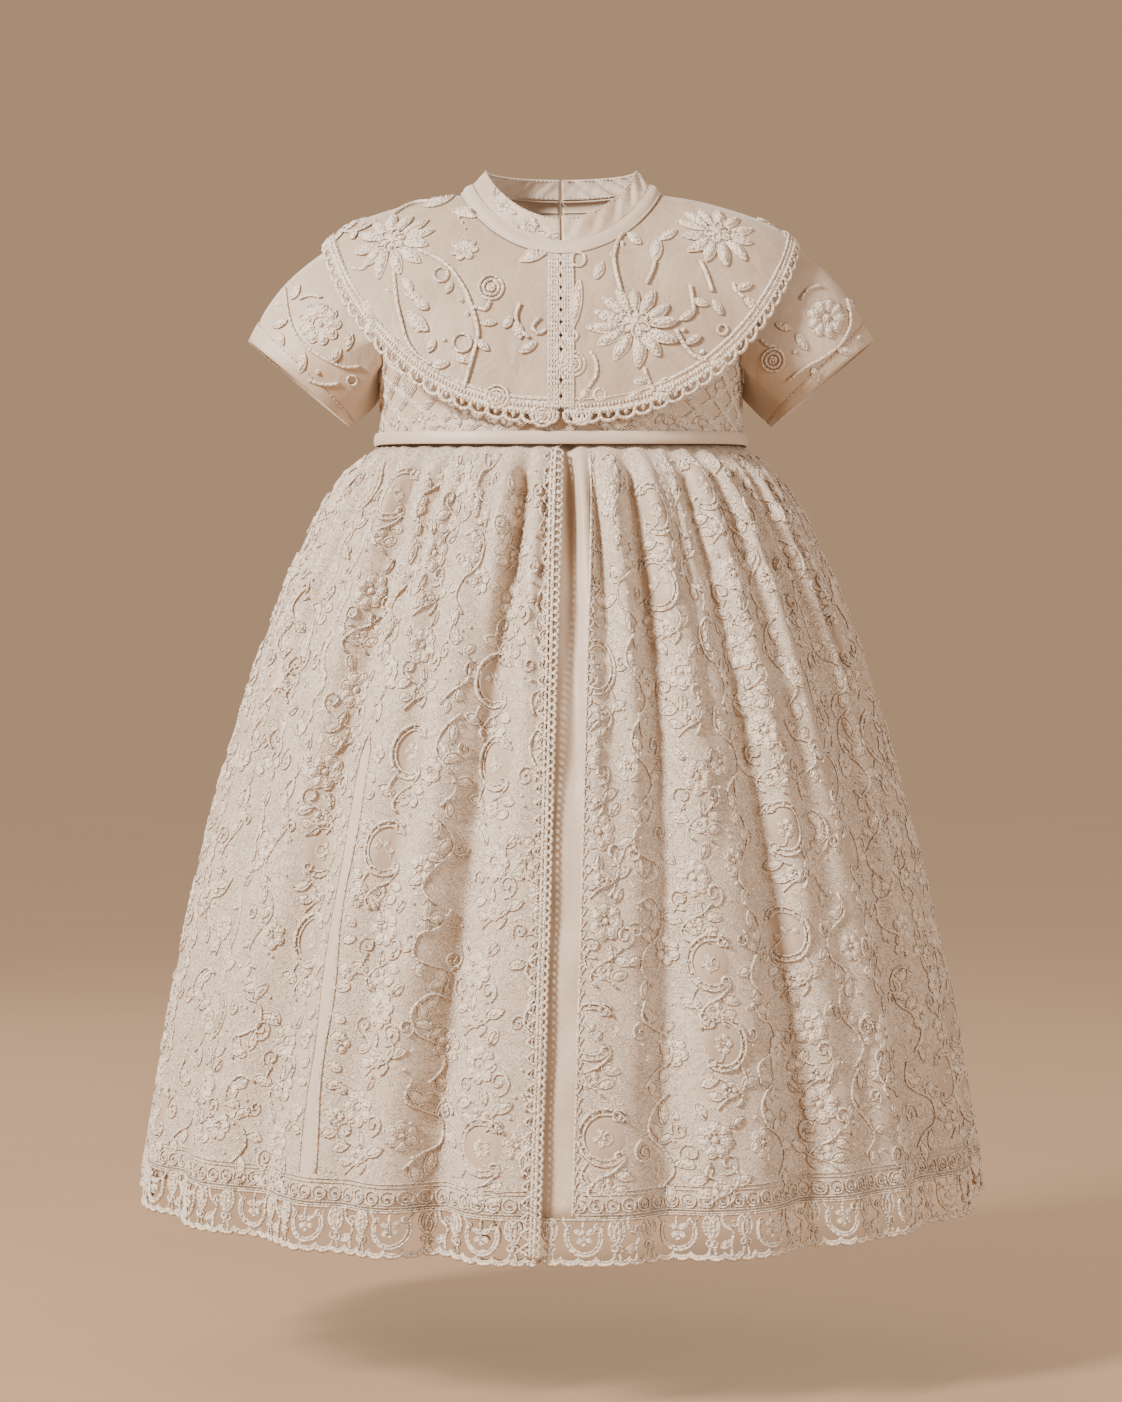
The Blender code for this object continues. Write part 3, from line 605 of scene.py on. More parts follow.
def cotton(name):
    """Corded lace thread: twisted strands and small stitches, with painted shade in the hollows between its
    pebbles.
    """
    nodes = Nodes(name)
    place = nodes.place()
    fuzz = nodes.noise(place, 900.0, 3.0)
    drift = nodes.noise(place, 90.0, 2.0)
    tone = nodes.maths("MULTIPLY_ADD", drift, 0.4, nodes.maths("MULTIPLY", fuzz, 0.6))
    colour = nodes.blend(nodes.remap(tone, 0.36, 0.58), LACE_DARK, LACE_LIGHT)
    pebbles = nodes.remap(nodes.cells(place, 620.0), 0.1, 0.7, 1.0, 0.0)
    # Painted shade: the hollows between the raised pebbles are darkened towards the dark lace colour
    colour = nodes.blend(nodes.remap(pebbles, 0.0, 0.5, 0.45, 0.0), colour, LACE_DARK)
    normal = nodes.bump(fuzz, 0.0002, 0.5, nodes.bump(pebbles, 0.0009, 0.9))
    return nodes.finish(colour, 0.85, normal, sheen=0.15, specular=0.2)


def plain_strips(nodes, cloth):
    """One on the plain strips of the skirt's cloth, whose sides waver, and nothing elsewhere."""
    separate = nodes.add("ShaderNodeSeparateXYZ", {"Vector": cloth})
    across = nodes.maths("MULTIPLY_ADD", nodes.noise(cloth, 40.0, 1.0), 0.004,
                         nodes.maths("SUBTRACT", separate.outputs["X"], 0.002))
    strip = 0.0
    for number in PLAIN_STRIPS:
        centre = (FIRST_COLUMN + (number + 0.5) * COLUMN_PITCH) * MM
        strip = nodes.maths("MAXIMUM", nodes.line(across, centre, 0.0036, 0.0047), strip)
    below = nodes.remap(separate.outputs["Y"], PLAIN_TOP * MM, (PLAIN_TOP + 12) * MM)
    return nodes.maths("MULTIPLY", strip, below)


def net_lace(name):
    """Lace net over satin: a ground seen through fine net, seeds and thin curling cords. The satin ground
    under the net is darker than bare satin, partly its own tone under the net and partly painted shade under
    the lace layer.
    """
    nodes = Nodes(name)
    cloth = nodes.add("ShaderNodeTexCoord").outputs["UV"]
    curls = nodes.line(nodes.noise(cloth, 95.0, 2.0, 0.6, 1.4), 0.5, 0.006, 0.022)
    fine_curls = nodes.line(nodes.noise(cloth, 150.0, 1.0, 0.5, 0.8), 0.47, 0.004, 0.016)
    seeds = nodes.maths("MULTIPLY", nodes.remap(nodes.cells(cloth, 520.0), 0.18, 0.36, 1.0, 0.0),
                        nodes.remap(nodes.noise(cloth, 46.0, 2.0), 0.47, 0.55))
    raised = nodes.maths("MAXIMUM", nodes.maths("MAXIMUM", curls, fine_curls),
                         nodes.maths("MULTIPLY", seeds, 0.8))
    net = nodes.remap(nodes.cells(cloth, 900.0, "DISTANCE_TO_EDGE"), 0.04, 0.16, 0.55, 0.0)
    strip = plain_strips(nodes, cloth)
    open_share = nodes.maths("SUBTRACT", 1.0, strip)
    raised = nodes.maths("MULTIPLY", raised, open_share)
    net = nodes.maths("MULTIPLY", net, open_share)
    lace = nodes.maths("MAXIMUM", raised, net)
    soft = nodes.remap(nodes.noise(nodes.place(), 30.0, 3.0), 0.35, 0.65, 0.1, 0.6)
    # Painted shade in part: the ground under the net leans to the darker net ground colour, while the plain
    # strips stay bare satin
    ground = nodes.blend(strip, nodes.blend(soft, SHADED_NET_GROUND, SATIN_LIGHT), SATIN_LIGHT)
    colour = nodes.blend(nodes.maths("MULTIPLY", lace, 0.95), ground, LACE_LIGHT)
    normal = nodes.bump(raised, 0.0011, 0.9, nodes.bump(net, 0.0003, 0.6))
    return nodes.finish(colour, nodes.remap(lace, 0.0, 1.0, 0.5, 0.82), normal, sheen=0.1)


def pearl(name):
    nodes = Nodes(name)
    cloudy = nodes.noise(nodes.place(), 300.0, 2.0)
    colour = nodes.blend(nodes.remap(cloudy, 0.35, 0.65), PEARL, ORGANZA_LIGHT)
    return nodes.finish(colour, 0.28, nodes.bump(cloudy, 0.0001, 0.3), coat=0.2, specular=0.4)


def floor_paper(name):
    nodes = Nodes(name)
    cloudy = nodes.noise(nodes.place(), 2.2, 4.0)
    colour = nodes.blend(nodes.remap(cloudy, 0.3, 0.7), FLOOR_DARK, FLOOR_LIGHT)
    nodes.shader.inputs["Emission Color"].default_value = FLOOR_GLOW
    nodes.shader.inputs["Emission Strength"].default_value = WORLD_STRENGTH
    return nodes.finish(colour, 0.9, nodes.bump(cloudy, 0.001, 0.1), specular=0.0)


SATIN = satin("gown_satin")
GROUND_SATIN = satin("medallion_satin", SATIN_DARK, GROUND_DARK)
CAPELET_SATIN = satin("capelet_satin", CAPELET_LIGHT, CAPELET_DARK, crease=1.9)
BAND_SATIN = satin("band_satin", BAND_LIGHT, BAND_DARK, crease=0.4)
ORGANZA = satin("collar_organza", ORGANZA_LIGHT, SATIN_DARK, 0.55, crease=1.2)
NET_LACE = net_lace("skirt_net_lace")
COTTON = cotton("lace_cord")
PEARL_FINISH = pearl("button_pearl")


def dress(item, node=None):
    """A piece rides on the gown, takes its slot and stands for the node it covers."""
    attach(item, "root")
    if node:
        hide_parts(node)
    return item


# Shells

SIDES = ((-1, "left"), (1, "right"))
SATIN_THICKNESS = 1.2 * MM
# Rows of a narrow band, which crowd at both edges so that a fold there looks round
EDGE_ROWS = np.array([0.0, 0.02, 0.06, 0.12])
BAND_DOWNS = 2 * np.concatenate([EDGE_ROWS, np.linspace(0.12, 0.88, 8)[1:-1], 1 - EDGE_ROWS[::-1]])
# Degrees between the columns of points
BAND_STEP = 2.0
CAPELET_STEP = 1.7
FRONT_STEP = 0.95
BACK_STEP = 1.3
EDGING_STEP = 1.3
# The capelet's halves, from their front edge round to their back edge in degrees
CAPELET_FRONT = 0.25
CAPELET_BACK = 179.2
CAPELET_LAST = 4
# The gap between two bodice panels and between two skirt panels, each side of the seam in degrees
BODICE_GAP = 0.12
PANEL_GAP = 0.08
# Where the stitched groove above the sleeve's hem lies, as a share of the way down
SLEEVE_HEM = 0.86


def even(first, last, spacing):
    return np.linspace(first, last, int((last - first) / spacing) + 1)


def padding(height):
    """A narrow band's rounded section, by how high it stands in millimetres."""
    return lambda down, across: height * MM * (1 - np.abs(down - 1) ** 6)


def make_collar():
    for side, name in SIDES:
        def tucks(down, across, side=side):
            turn = np.radians(across * 21 + down * 130 * side)
            slant = (np.sin(turn) + 0.35 * np.sin(turn * 2 + 0.6)) * (1.25 if side > 0 else 0.4)
            crinkle = 0.3 * np.sin(np.radians(across * 37 - down * 260))
            return (slant + crinkle) * 0.7 * MM * np.sin(np.pi * down / 2)

        item = shell("collar_" + name + "_organza", collar_surface, BAND_DOWNS,
                     np.sort(side * even(0.6, 179.4, BAND_STEP)), 1.1 * MM, ORGANZA, puff=tucks)
        dress(item, "collar_" + name)


def make_neck_band():
    item = shell("neck_binding", band_surface, BAND_DOWNS, even(-179.2, 179.2, BAND_STEP), 1.4 * MM,
                 BAND_SATIN, puff=padding(0.6))
    dress(item, "neck_band")


def make_bodice():
    places = np.linspace(0, 8, 37)
    span = armhole_angle(places)[:, None] - BODICE_GAP
    front = shell("bodice_front_satin", torso_surface, places, np.linspace(-1, 1, 61) * span,
                  SATIN_THICKNESS, SATIN)
    dress(front, "bodice_front")
    for side, name in SIDES:
        angles = np.sort(mix(180 - span, 179.9, np.linspace(0, 1, 31)) * side)
        item = shell("bodice_back_" + name + "_satin", torso_surface, places, angles, SATIN_THICKNESS, SATIN)
        dress(item, "bodice_back_" + name)


def make_waist_band():
    spans = (("front", -89.9, 89.9), ("back_left", -179.9, -90.1), ("back_right", 90.1, 179.9))
    for name, first, last in spans:
        item = shell("waist_band_" + name + "_satin", waist_surface, BAND_DOWNS,
                     even(first, last, BAND_STEP), 1.3 * MM, BAND_SATIN, puff=padding(0.5))
        dress(item, "waist_band_" + name)


def make_sleeves():
    for side, name in SIDES:
        item = shell("sleeve_" + name + "_satin", sleeve_surface(side), np.linspace(0, 1, 35),
                     np.linspace(0, 360, 81)[:-1], SATIN_THICKNESS, SATIN, wraps=True, flip=-side,
                     puff=hem_ridge)
        dress(item, "sleeve_" + name)


def hem_ridge(down, across):
    """The sleeve hem: a turned-up fold with a stitched groove above it."""
    step = (down - SLEEVE_HEM) / 0.02
    return (smoothstep(step + 0.5) * 0.5 - 0.45 * np.exp(-(step * 1.2) ** 2)) * MM


def make_capelets():
    for side, name in SIDES:
        angles = np.sort(side * even(CAPELET_FRONT, CAPELET_BACK, CAPELET_STEP))
        item = shell("capelet_" + name + "_satin", capelet_surface, np.linspace(0, CAPELET_LAST, 45),
                     angles, 1.1 * MM, CAPELET_SATIN, puff=capelet_ripple, step_down=RING_STEP)
        dress(item, "capelet_" + name)


def capelet_ripple(down, across):
    """Slow waves in the capelet, growing towards its free edge."""
    wave = 0.5 * ripple(across, 6, 40) + 0.35 * ripple(across, 11, -25)
    return wave * MM * smoothstep(down / CAPELET_LAST)


SKIRT_DOWNS = np.concatenate([np.linspace(0, 0.08, 10), np.linspace(0.1, 1.0, 52)])
PANEL_SURFACES = {"left": skirt_surface, "right": under_surface, "back": skirt_surface}


def panel_edges(name, down, gap=0.0):
    """The angles of a skirt panel's two side edges."""
    if name == "left":
        return gap - PANEL_SIDE + 0 * down, lap_edge(down)
    if name == "right":
        return lap_edge(down) - UNDERLAP, PANEL_SIDE - gap + 0 * down
    return PANEL_SIDE + gap + 0 * down, 360 - PANEL_SIDE - gap + 0 * down


def skirt_cloth(down, across):
    return across / 360 * CLOTH_WIDTH, down * SKIRT_LENGTH


def make_skirt():
    down = SKIRT_DOWNS[:, None]
    for name, surface in PANEL_SURFACES.items():
        first, last = panel_edges(name, down, PANEL_GAP)
        count = int((last[0, 0] - first[0, 0]) / (BACK_STEP if name == "back" else FRONT_STEP))
        shares = np.linspace(0, 1, count + 1)
        angles = mix(first, last, shares)
        strip_columns = 0
        if name == "right":
            strip_columns = STRIP_COLUMNS
            strip = strip_edge(down)
            angles = np.concatenate([mix(first, strip, np.linspace(0, 1, STRIP_COLUMNS + 1)),
                                     mix(strip, last, shares[1:])], 1)
        item = shell("skirt_" + name + "_cloth", surface, SKIRT_DOWNS, angles, 1.0 * MM, NET_LACE,
                     cloth_uv=skirt_cloth, plain_columns=strip_columns, plain=SATIN)
        dress(item, "skirt_" + name)


def make_buttons():
    for name in ("back_button_neck", "back_button_waist"):
        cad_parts[name].data.materials.clear()
        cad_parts[name].data.materials.append(PEARL_FINISH)


# Fields: flat coordinates laid on a surface

class Field:
    """Flat coordinates on a surface, with the points and normals they stand for."""

    def __init__(self, surface, place, flip=1.0, step_down=SKIRT_STEP):
        self.surface = surface
        self.place = place
        self.flip = flip
        self.step_down = step_down

    def lay(self, path, lift):
        down, across = self.place(np.asarray(path, float))
        normal = normal_at(self.surface, down, across, self.step_down, flip=self.flip)
        return self.surface(down, across) + normal * np.asarray(lift)[..., None], normal


def skirt_field(surface):
    """Cloth millimetres: x round the body from the centre front, y down from the waist."""
    return Field(surface, lambda path: (path[:, 1] / HEM, path[:, 0] / CLOTH_ROUND * 360))


def lap_field(surface):
    """Real millimetres from the lapping edge: x round the body, y in cloth down from the waist."""
    def place(path):
        down = path[:, 1] / HEM
        return down, lap_edge(down) + np.degrees(path[:, 0] / skirt_half_width(down))
    return Field(surface, place)


def patch_field(surface, down, across, flip=1.0, step_down=RING_STEP):
    """Millimetres round one place on a surface: x round the body, y down."""
    here = surface(down, across)
    east = np.linalg.norm(surface(down, across + 0.5) - here) / 0.5 / MM
    south = np.linalg.norm(surface(down + 0.1, across) - here) / 0.1 / MM
    return Field(surface, lambda path: (down + path[:, 1] / south, across + path[:, 0] / east),
                 flip, step_down)


def to_pixels(points):
    zoom = CAMERA_DISTANCE / (CAMERA_DISTANCE + points[..., 1]) / PIXEL
    return np.stack([FRAME_WIDE / 2 + points[..., 0] * zoom,
                     FRAME_HIGH / 2 - (points[..., 2] - CAMERA_Z) * zoom], -1)


def photo_field(surface, down, across, flip=1.0):
    """The photograph's pixels, found on a surface by steps from a place nearby."""
    def place(path):
        downs = np.full(len(path), float(down))
        acrosses = np.full(len(path), float(across))
        for _ in range(30):
            here = to_pixels(surface(downs, acrosses))
            miss = path - here
            fall = (to_pixels(surface(downs + 0.01, acrosses)) - here) / 0.01
            run = (to_pixels(surface(downs, acrosses + 0.2)) - here) / 0.2
            size = fall[:, 0] * run[:, 1] - fall[:, 1] * run[:, 0]
            size = np.where(np.abs(size) < 1e-6, 1e-6, size)
            step = (miss[:, 0] * run[:, 1] - miss[:, 1] * run[:, 0]) / size
            turn = (fall[:, 0] * miss[:, 1] - fall[:, 1] * miss[:, 0]) / size
            downs = downs + np.clip(step, -0.3, 0.3)
            acrosses = acrosses + np.clip(turn, -4, 4)
        return downs, acrosses
    return Field(surface, place, flip, RING_STEP)


# Sketches: cords and pads drawn flat, then laid on a field

Cord = namedtuple("Cord", "path radius closed sides lift beads")
Pad = namedtuple("Pad", "outline rings height")


class Sketch:
    """Cords and pads in flat units, where one unit is a given number of millimetres."""

    def __init__(self, unit=1.0, lift=0.35):
        self.unit = unit
        self.lift = lift
        self.cords = []
        self.pads = []

    def cord(self, path, radius, closed=False, sides=3, lift=None, spacing=1.8, beads=0.0):
        path = resample(path, spacing / self.unit, closed)
        lift = self.lift if lift is None else lift
        self.cords.append(Cord(path, radius, closed, sides, lift, beads))

    def thread(self, path, radius, lift, beads=0.0):
        """An open cord through just the points given."""
        self.cords.append(Cord(path, radius, False, 4, lift, beads))

    def pad(self, outline, height, inner=0.55):
        """A raised dome within an outline, its rim sunk into the cloth."""
        self.pads.append(Pad(np.asarray(outline, float), ((1.0, -0.25), (inner, height * 0.8)), height))

    def corded_pad(self, outline, radius, height, inner=0.55, **style):
        """A raised dome with a cord round it."""
        self.cord(outline, radius, closed=True, **style)
        self.pad(outline, height, inner)

    def disc(self, outline, height):
        """A flat patch within an outline, just above the cloth."""
        rings = ((1.0, 0.0), (0.85, height), (0.55, height), (0.28, height))
        self.pads.append(Pad(np.asarray(outline, float), rings, height))

    def stamp(self, other, degrees=0.0, move=(0, 0), mirror=False, thick=1.0):
        for cord in other.cords:
            path = turned(cord.path, degrees, move, mirror)
            self.cords.append(cord._replace(path=path, radius=cord.radius * thick))
        for pad in other.pads:
            self.pads.append(pad._replace(outline=turned(pad.outline, degrees, move, mirror)))

    def make(self, field, bag, keep=None):
        """Lays everything on the field; keep says which places may hold lace."""
        self.make_cords(field, bag, keep)
        self.make_pads(field, bag, keep)

    def kept_cords(self, field, keep):
        """Each cord, or the stretches of it that lie where lace may be."""
        for cord in self.cords:
            inside = np.ones(len(cord.path), bool) if keep is None else keep(*field.place(cord.path))
            if inside.all():
                yield cord
                continue
            ends = np.flatnonzero(np.diff(np.concatenate([[0], inside.astype(int), [0]])))
            for first, last in zip(ends[::2], ends[1::2]):
                if last - first > 2:
                    yield cord._replace(path=cord.path[first:last], closed=False)

    def make_cords(self, field, bag, keep):
        cords = list(self.kept_cords(field, keep))
        if not cords:
            return
        lifts = [np.full(len(cord.path), cord.lift * MM) for cord in cords]
        points, normals = field.lay(np.concatenate([cord.path for cord in cords]), np.concatenate(lifts))
        start = 0
        for cord in cords:
            stop = start + len(cord.path)
            swell = 1 + cord.beads * np.where(np.arange(stop - start) % 2 == 0, 1.0, -1.0)
            add_tube(bag, points[start:stop], normals[start:stop], cord.radius * MM * swell, cord.sides,
                     cord.closed)
            start = stop

    def make_pads(self, field, bag, keep):
        rows = []
        for outline, rings, height in self.pads:
            middle = outline.mean(0)
            probes = np.stack([middle, outline[0], outline[len(outline) // 2]])
            if keep is not None and not keep(*field.place(probes)).all():
                continue
            flat = np.concatenate([mix(middle, outline, scale) for scale, _ in rings] + [middle[None]])
            lifts = np.concatenate([np.full(len(outline), lift) for _, lift in rings] + [[height]])
            rows.append((flat, lifts * MM, len(outline), len(rings)))
        if not rows:
            return
        points, normals = field.lay(np.concatenate([row[0] for row in rows]),
                                    np.concatenate([row[1] for row in rows]))
        start = 0
        for flat, _, count, rings in rows:
            stop = start + len(flat)
            first = np.arange(count)
            beside = (first + 1) % count
            quad = np.stack([first, first + count, beside + count, beside], -1)
            quads = np.concatenate([quad + ring * count for ring in range(rings - 1)])
            low = (rings - 1) * count
            tips = np.stack([first + low, np.full(count, rings * count), beside + low], -1)
            corner, middle, after = points[start + tips[0]]
            if np.dot(np.cross(middle - corner, after - corner), normals[stop - 1]) < 0:
                quads = quads[:, ::-1]
                tips = tips[:, ::-1]
            bag.add(points[start:stop], quads, tips)
            start = stop


def lace_piece(name, field, sketch, node=None, keep=None, material=COTTON):
    """One piece of the gown, from a sketch laid on a field."""
    bag = Bag()
    sketch.make(field, bag, keep)
    dress(bag.build(name, material), node)


# Motifs: x to the right and y down, in millimetres

def circle(spot, radius, count=24):
    return arc(spot, radius, 0, 360, count + 1)[:-1]


def leaf_outline(spot, degrees, length, width, count=14, bend=0.0):
    """A pointed leaf from a spot, in the direction of an angle."""
    share = np.linspace(0, 1, count // 2 + 1)
    half = width / 2 * np.sin(np.pi * share) ** 0.8
    sway = bend * np.sin(np.pi * share)
    upper = np.stack([share * length, sway - half], -1)
    lower = np.stack([share * length, sway + half], -1)
    return turned(np.concatenate([upper, lower[-2:0:-1]]), degrees, spot)


def petal_outline(start, reach, width, count=14):
    """A petal along +x, wider near its tip, with a soft point."""
    turn = np.linspace(0, 2 * np.pi, count, endpoint=False)
    x = (start + reach) / 2 + (reach - start) / 2 * np.cos(turn)
    y = width / 2 * np.sin(turn) * (1 + 0.22 * np.cos(turn)) * (1 - 0.18 * np.cos(turn) ** 4)
    return np.stack([x, y], -1)


def spiral(spot, radius, inner, turns, start, count):
    share = np.linspace(0, 1, count)
    angle = np.radians(start) + share * turns * 2 * np.pi
    reach = mix(radius, inner, share ** 0.8)
    return np.stack([spot[0] + reach * np.cos(angle), spot[1] + reach * np.sin(angle)], -1)


def add_leaf(sketch, spot, degrees, length, width, radius=0.55, vein=False, pad=0.9, bend=0.0):
    sketch.corded_pad(leaf_outline(spot, degrees, length, width, 12, bend), radius, pad, spacing=2.5)
    if vein:
        middle = [(length * 0.1, 0), (length * 0.5, bend), (length * 0.85, 0)]
        sketch.cord(turned(middle, degrees, spot), radius * 0.8, lift=pad + 0.2)


def add_knot(sketch, spot, radius, height=None):
    sketch.pad(circle(spot, radius, 6), radius if height is None else height, 0.62)


def add_ring(sketch, spot, radius, cord, spacing=1.4, **style):
    sketch.cord(circle(spot, radius), cord, closed=True, spacing=spacing, **style)


def add_flower(sketch, spot, reach, petals, radius=0.45, start=0.0, pad=0.5):
    """A round flower: petals with cord edges over pebbly pads, and a knot in the middle."""
    heart = reach * 0.28
    petal = petal_outline(heart, reach, 2 * math.pi * reach * 0.62 / petals * 1.15, 10)
    for index in range(petals):
        outline = turned(petal, start + 360 * index / petals, spot)
        sketch.corded_pad(outline, radius, pad, 0.7, spacing=2.0)
    add_knot(sketch, spot, heart * 0.8, pad + 0.5)


# Lace border and trims

HEM_REPEATS = 30
REPEAT = CLOTH_ROUND / HEM_REPEATS
RING_PITCH = REPEAT / 6
RING_BAND = 16.0
TRIM_LOOPS = 52
EDGING_LOOPS = 42
BRAID_STITCHES = 34
BRAID_PICOTS = 12


def lattice_x(first, last, pitch):
    """Every multiple of the pitch between two places, so that panels meet in step."""
    return np.arange(math.floor(first / pitch), math.ceil(last / pitch) + 1) * pitch


def add_border_scroll(sketch, middle):
    """The border's open scroll, with a curl and a hook on each side and a sprig inside."""
    for radius, first, last, count, cord, style in (
            (8.6, -28, 208, 26, 0.85, {"sides": 4, "spacing": 1.3, "beads": 0.1}),
            (7.3, -20, 200, 22, 0.5, {"spacing": 1.6})):
        sketch.cord(arc((middle, 9.0), radius, first, last, count, squash=1.12), cord, **style)
    for side in (-1, 1):
        curl = spiral((middle + side * 6.3, 4.3), 2.0, 0.5, -side * 1.1, 180 + side * 90, 14)
        sketch.cord(curl, 0.6, spacing=1.1)
        sketch.cord([(middle + side * x, y) for x, y in ((7.6, 4.6), (9.8, 1.2), (9.4, -1.0))], 0.6)
    sketch.cord([(middle, -1.0), (middle - 0.8, 5.0), (middle + 0.4, 12.0)], 0.6)
    for degrees, length, y in ((200, 5.0, 7.5), (-25, 5.5, 7.5), (150, 4.5, 9.5), (25, 4.5, 9.5)):
        sketch.corded_pad(leaf_outline((middle, y), degrees, length, 2.4, 10), 0.5, 0.5, spacing=1.4)
    add_knot(sketch, (middle, 12.8), 1.5, 1.0)


def add_border_leaf(sketch, x, lean, length):
    """A tall leaf of the border, with a smaller leaf inside and a ring and a stalk below."""
    side = 1 if lean < 90 else -1
    foot = (x, 0.6)
    tip = foot[1] + length
    sketch.cord(leaf_outline(foot, lean, length, 5.0, 16), 0.7, closed=True, spacing=1.3, sides=4)
    sketch.cord(turned([(1.0, 0), (length * 0.5, 0.4), (length - 1.2, 0)], lean, foot), 0.45, lift=0.1)
    sketch.cord(leaf_outline((x, 2.6), lean, length * 0.66, 2.6, 12), 0.35, closed=True, lift=0.1)
    add_ring(sketch, (x + (0.9 if side > 0 else -1.0), tip + 2.1), 1.7, 0.65)
    sketch.cord([(x + side * 1.2, tip + 3.6), (x, BORDER - 1.5)], 0.55)


def border_motif():
    """One repeat of the open border: an open scroll, four tall leaves, a bending stem and scallops."""
    sketch = Sketch(lift=0.0)
    add_border_scroll(sketch, REPEAT * 0.22)
    for across, lean, length in ((0.50, 82, 12.0), (0.585, 98, 12.5), (0.86, 84, 11.5), (0.94, 100, 12.0)):
        add_border_leaf(sketch, REPEAT * across, lean, length)
    bend = REPEAT * 0.725
    stem = ((-3.5, -0.8), (-2.5, 5.5), (2.2, 9.5), (0.6, 15.0), (1.0, BORDER - 1.5))
    sketch.cord(curve([(bend + x, y) for x, y in stem]), 0.75, sides=4, spacing=1.4)
    sketch.cord(spiral((bend + 2.6, 5.6), 2.8, 0.6, 1.3, 150, 18), 0.55, spacing=1.1)
    sketch.corded_pad(leaf_outline((bend + 1.2, 13.5), 150, 7.0, 3.6, 12), 0.55, 0.5, spacing=1.4)
    for index in range(6):
        for drop, radius in ((0.0, 0.85), (-1.5, 0.5)):
            middle = ((index + 0.5) * RING_PITCH, BORDER - 2.6 + drop)
            edge = arc(middle, RING_PITCH / 2 + 0.2, 176, 4, 9, squash=0.62)
            sketch.cord(edge, radius, sides=4, spacing=1.5)
    sketch.cord([(0, 0.3), (REPEAT, 0.3)], 0.6, lift=0.3, spacing=2.4)
    return sketch


def cloth_x(degrees):
    return degrees / 360 * CLOTH_ROUND


def make_hem_lace():
    motif = border_motif()
    for name, surface in PANEL_SURFACES.items():
        first, last = panel_edges(name, 1.0)
        sketch = Sketch()
        for x in lattice_x(cloth_x(first), cloth_x(last), REPEAT):
            sketch.stamp(motif, move=(x, HEM), thick=1.3)
        lace_piece("hem_border_" + name, skirt_field(surface), sketch, "hem_lace_" + name,
                   lambda down, across, first=first, last=last: (across > first) & (across < last))


def make_front_trim():
    """The scalloped trim: a thick spine, small bumps on its right and pointed loops on its left."""
    sketch = Sketch()
    top = 3.0
    foot = HEM + BORDER - 4.0
    pitch = (foot - top) / TRIM_LOOPS
    for x, radius in ((-1.2, 0.95), (-3.0, 0.85)):
        sketch.cord([(x, top), (x, foot)], radius, sides=4, lift=0.9, spacing=1.7, beads=0.16)
    for index in range(TRIM_LOOPS):
        y = top + (index + 0.5) * pitch
        loop = ((-3.2, -0.46), (-6.0, -0.2), (-7.6, 0.0), (-6.0, 0.2), (-3.2, 0.46))
        sketch.cord(curve([(x, y + share * pitch) for x, share in loop], 4), 0.75, sides=4, lift=0.8,
                    spacing=1.3, beads=0.1)
        sketch.cord(arc((-4.0, y), 1.5, 100, 260, 8), 0.5, lift=0.7, spacing=1.3)
        for level in (y - 0.25 * pitch, y + 0.25 * pitch):
            sketch.cord(arc((-0.6, level), pitch * 0.25, -90, 90, 8), 0.75, sides=4, lift=0.7, spacing=1.3)
            add_knot(sketch, (-2.1, level), 0.9, 1.7)
    lace_piece("front_trim_cords", lap_field(skirt_surface), sketch, "front_trim")


def capelet_edge_field(side):
    """Millimetres along the capelet's free edge from its front, and out from the satin's edge."""
    angles = np.linspace(CAPELET_FRONT, CAPELET_BACK, 400)
    edge = capelet_surface(CAPELET_LAST + 0.5, angles)
    lengths = np.concatenate([[0], np.cumsum(np.linalg.norm(np.diff(edge, axis=0), axis=-1))]) / MM

    def place(path):
        return CAPELET_LAST + path[:, 1] / 8.6, side * np.interp(path[:, 0], lengths, angles)
    return Field(capelet_surface, place, step_down=RING_STEP), lengths[-1]


def make_capelet_edging():
    for side, name in SIDES:
        field, length = capelet_edge_field(side)
        angles = np.sort(side * even(CAPELET_FRONT, CAPELET_BACK, EDGING_STEP))
        ribbon = shell("capelet_" + name + "_edge_ribbon", capelet_surface, np.linspace(3.72, 4.3, 6),
                       angles, 0.9 * MM, COTTON, puff=lambda down, across: 0.5 * MM + 0 * down,
                       step_down=RING_STEP)
        dress(ribbon)
        sketch = Sketch()
        pitch = length / EDGING_LOOPS
        for x in (np.arange(EDGING_LOOPS) + 0.5) * pitch:
            sketch.cord(arc((x, 2.3), pitch * 0.5, 186, -6, 16, squash=1.42), 1.0, sides=5, lift=0.25,
                        spacing=1.2, beads=0.08)
            add_knot(sketch, (x, 3.1), 1.25, 1.5)
            sketch.cord([(x, 3.2), (x, 5.2)], 0.5, lift=0.2, spacing=0.9)
        for x in lattice_x(1.0, length - 1.0, 1.9)[1:-1]:
            add_knot(sketch, (x, 1.9), 0.95, 1.5)
            add_knot(sketch, (x + 0.95, -0.3), 0.9, 1.45)
        sketch.cord([(0.5, -1.8), (length - 0.5, -1.8)], 0.55, sides=4, lift=0.9, spacing=1.7, beads=0.2)
        lace_piece("capelet_" + name + "_edging", field, sketch, "capelet_" + name + "_lace")


def front_edge_field(side):
    """Real millimetres from the centre front across half of the capelet, and rows down it."""
    def place(path):
        down = path[:, 1]
        half = np.interp(down, range(len(CAPELET)), CAPELET[:, 0])
        square = np.interp(down, range(len(CAPELET)), CAPELET[:, 6])
        share = np.clip(path[:, 0] / half, 0.0, 1.0)
        return down, side * np.degrees(np.arcsin(share ** (1 / square)))
    return Field(capelet_surface, place, step_down=RING_STEP)


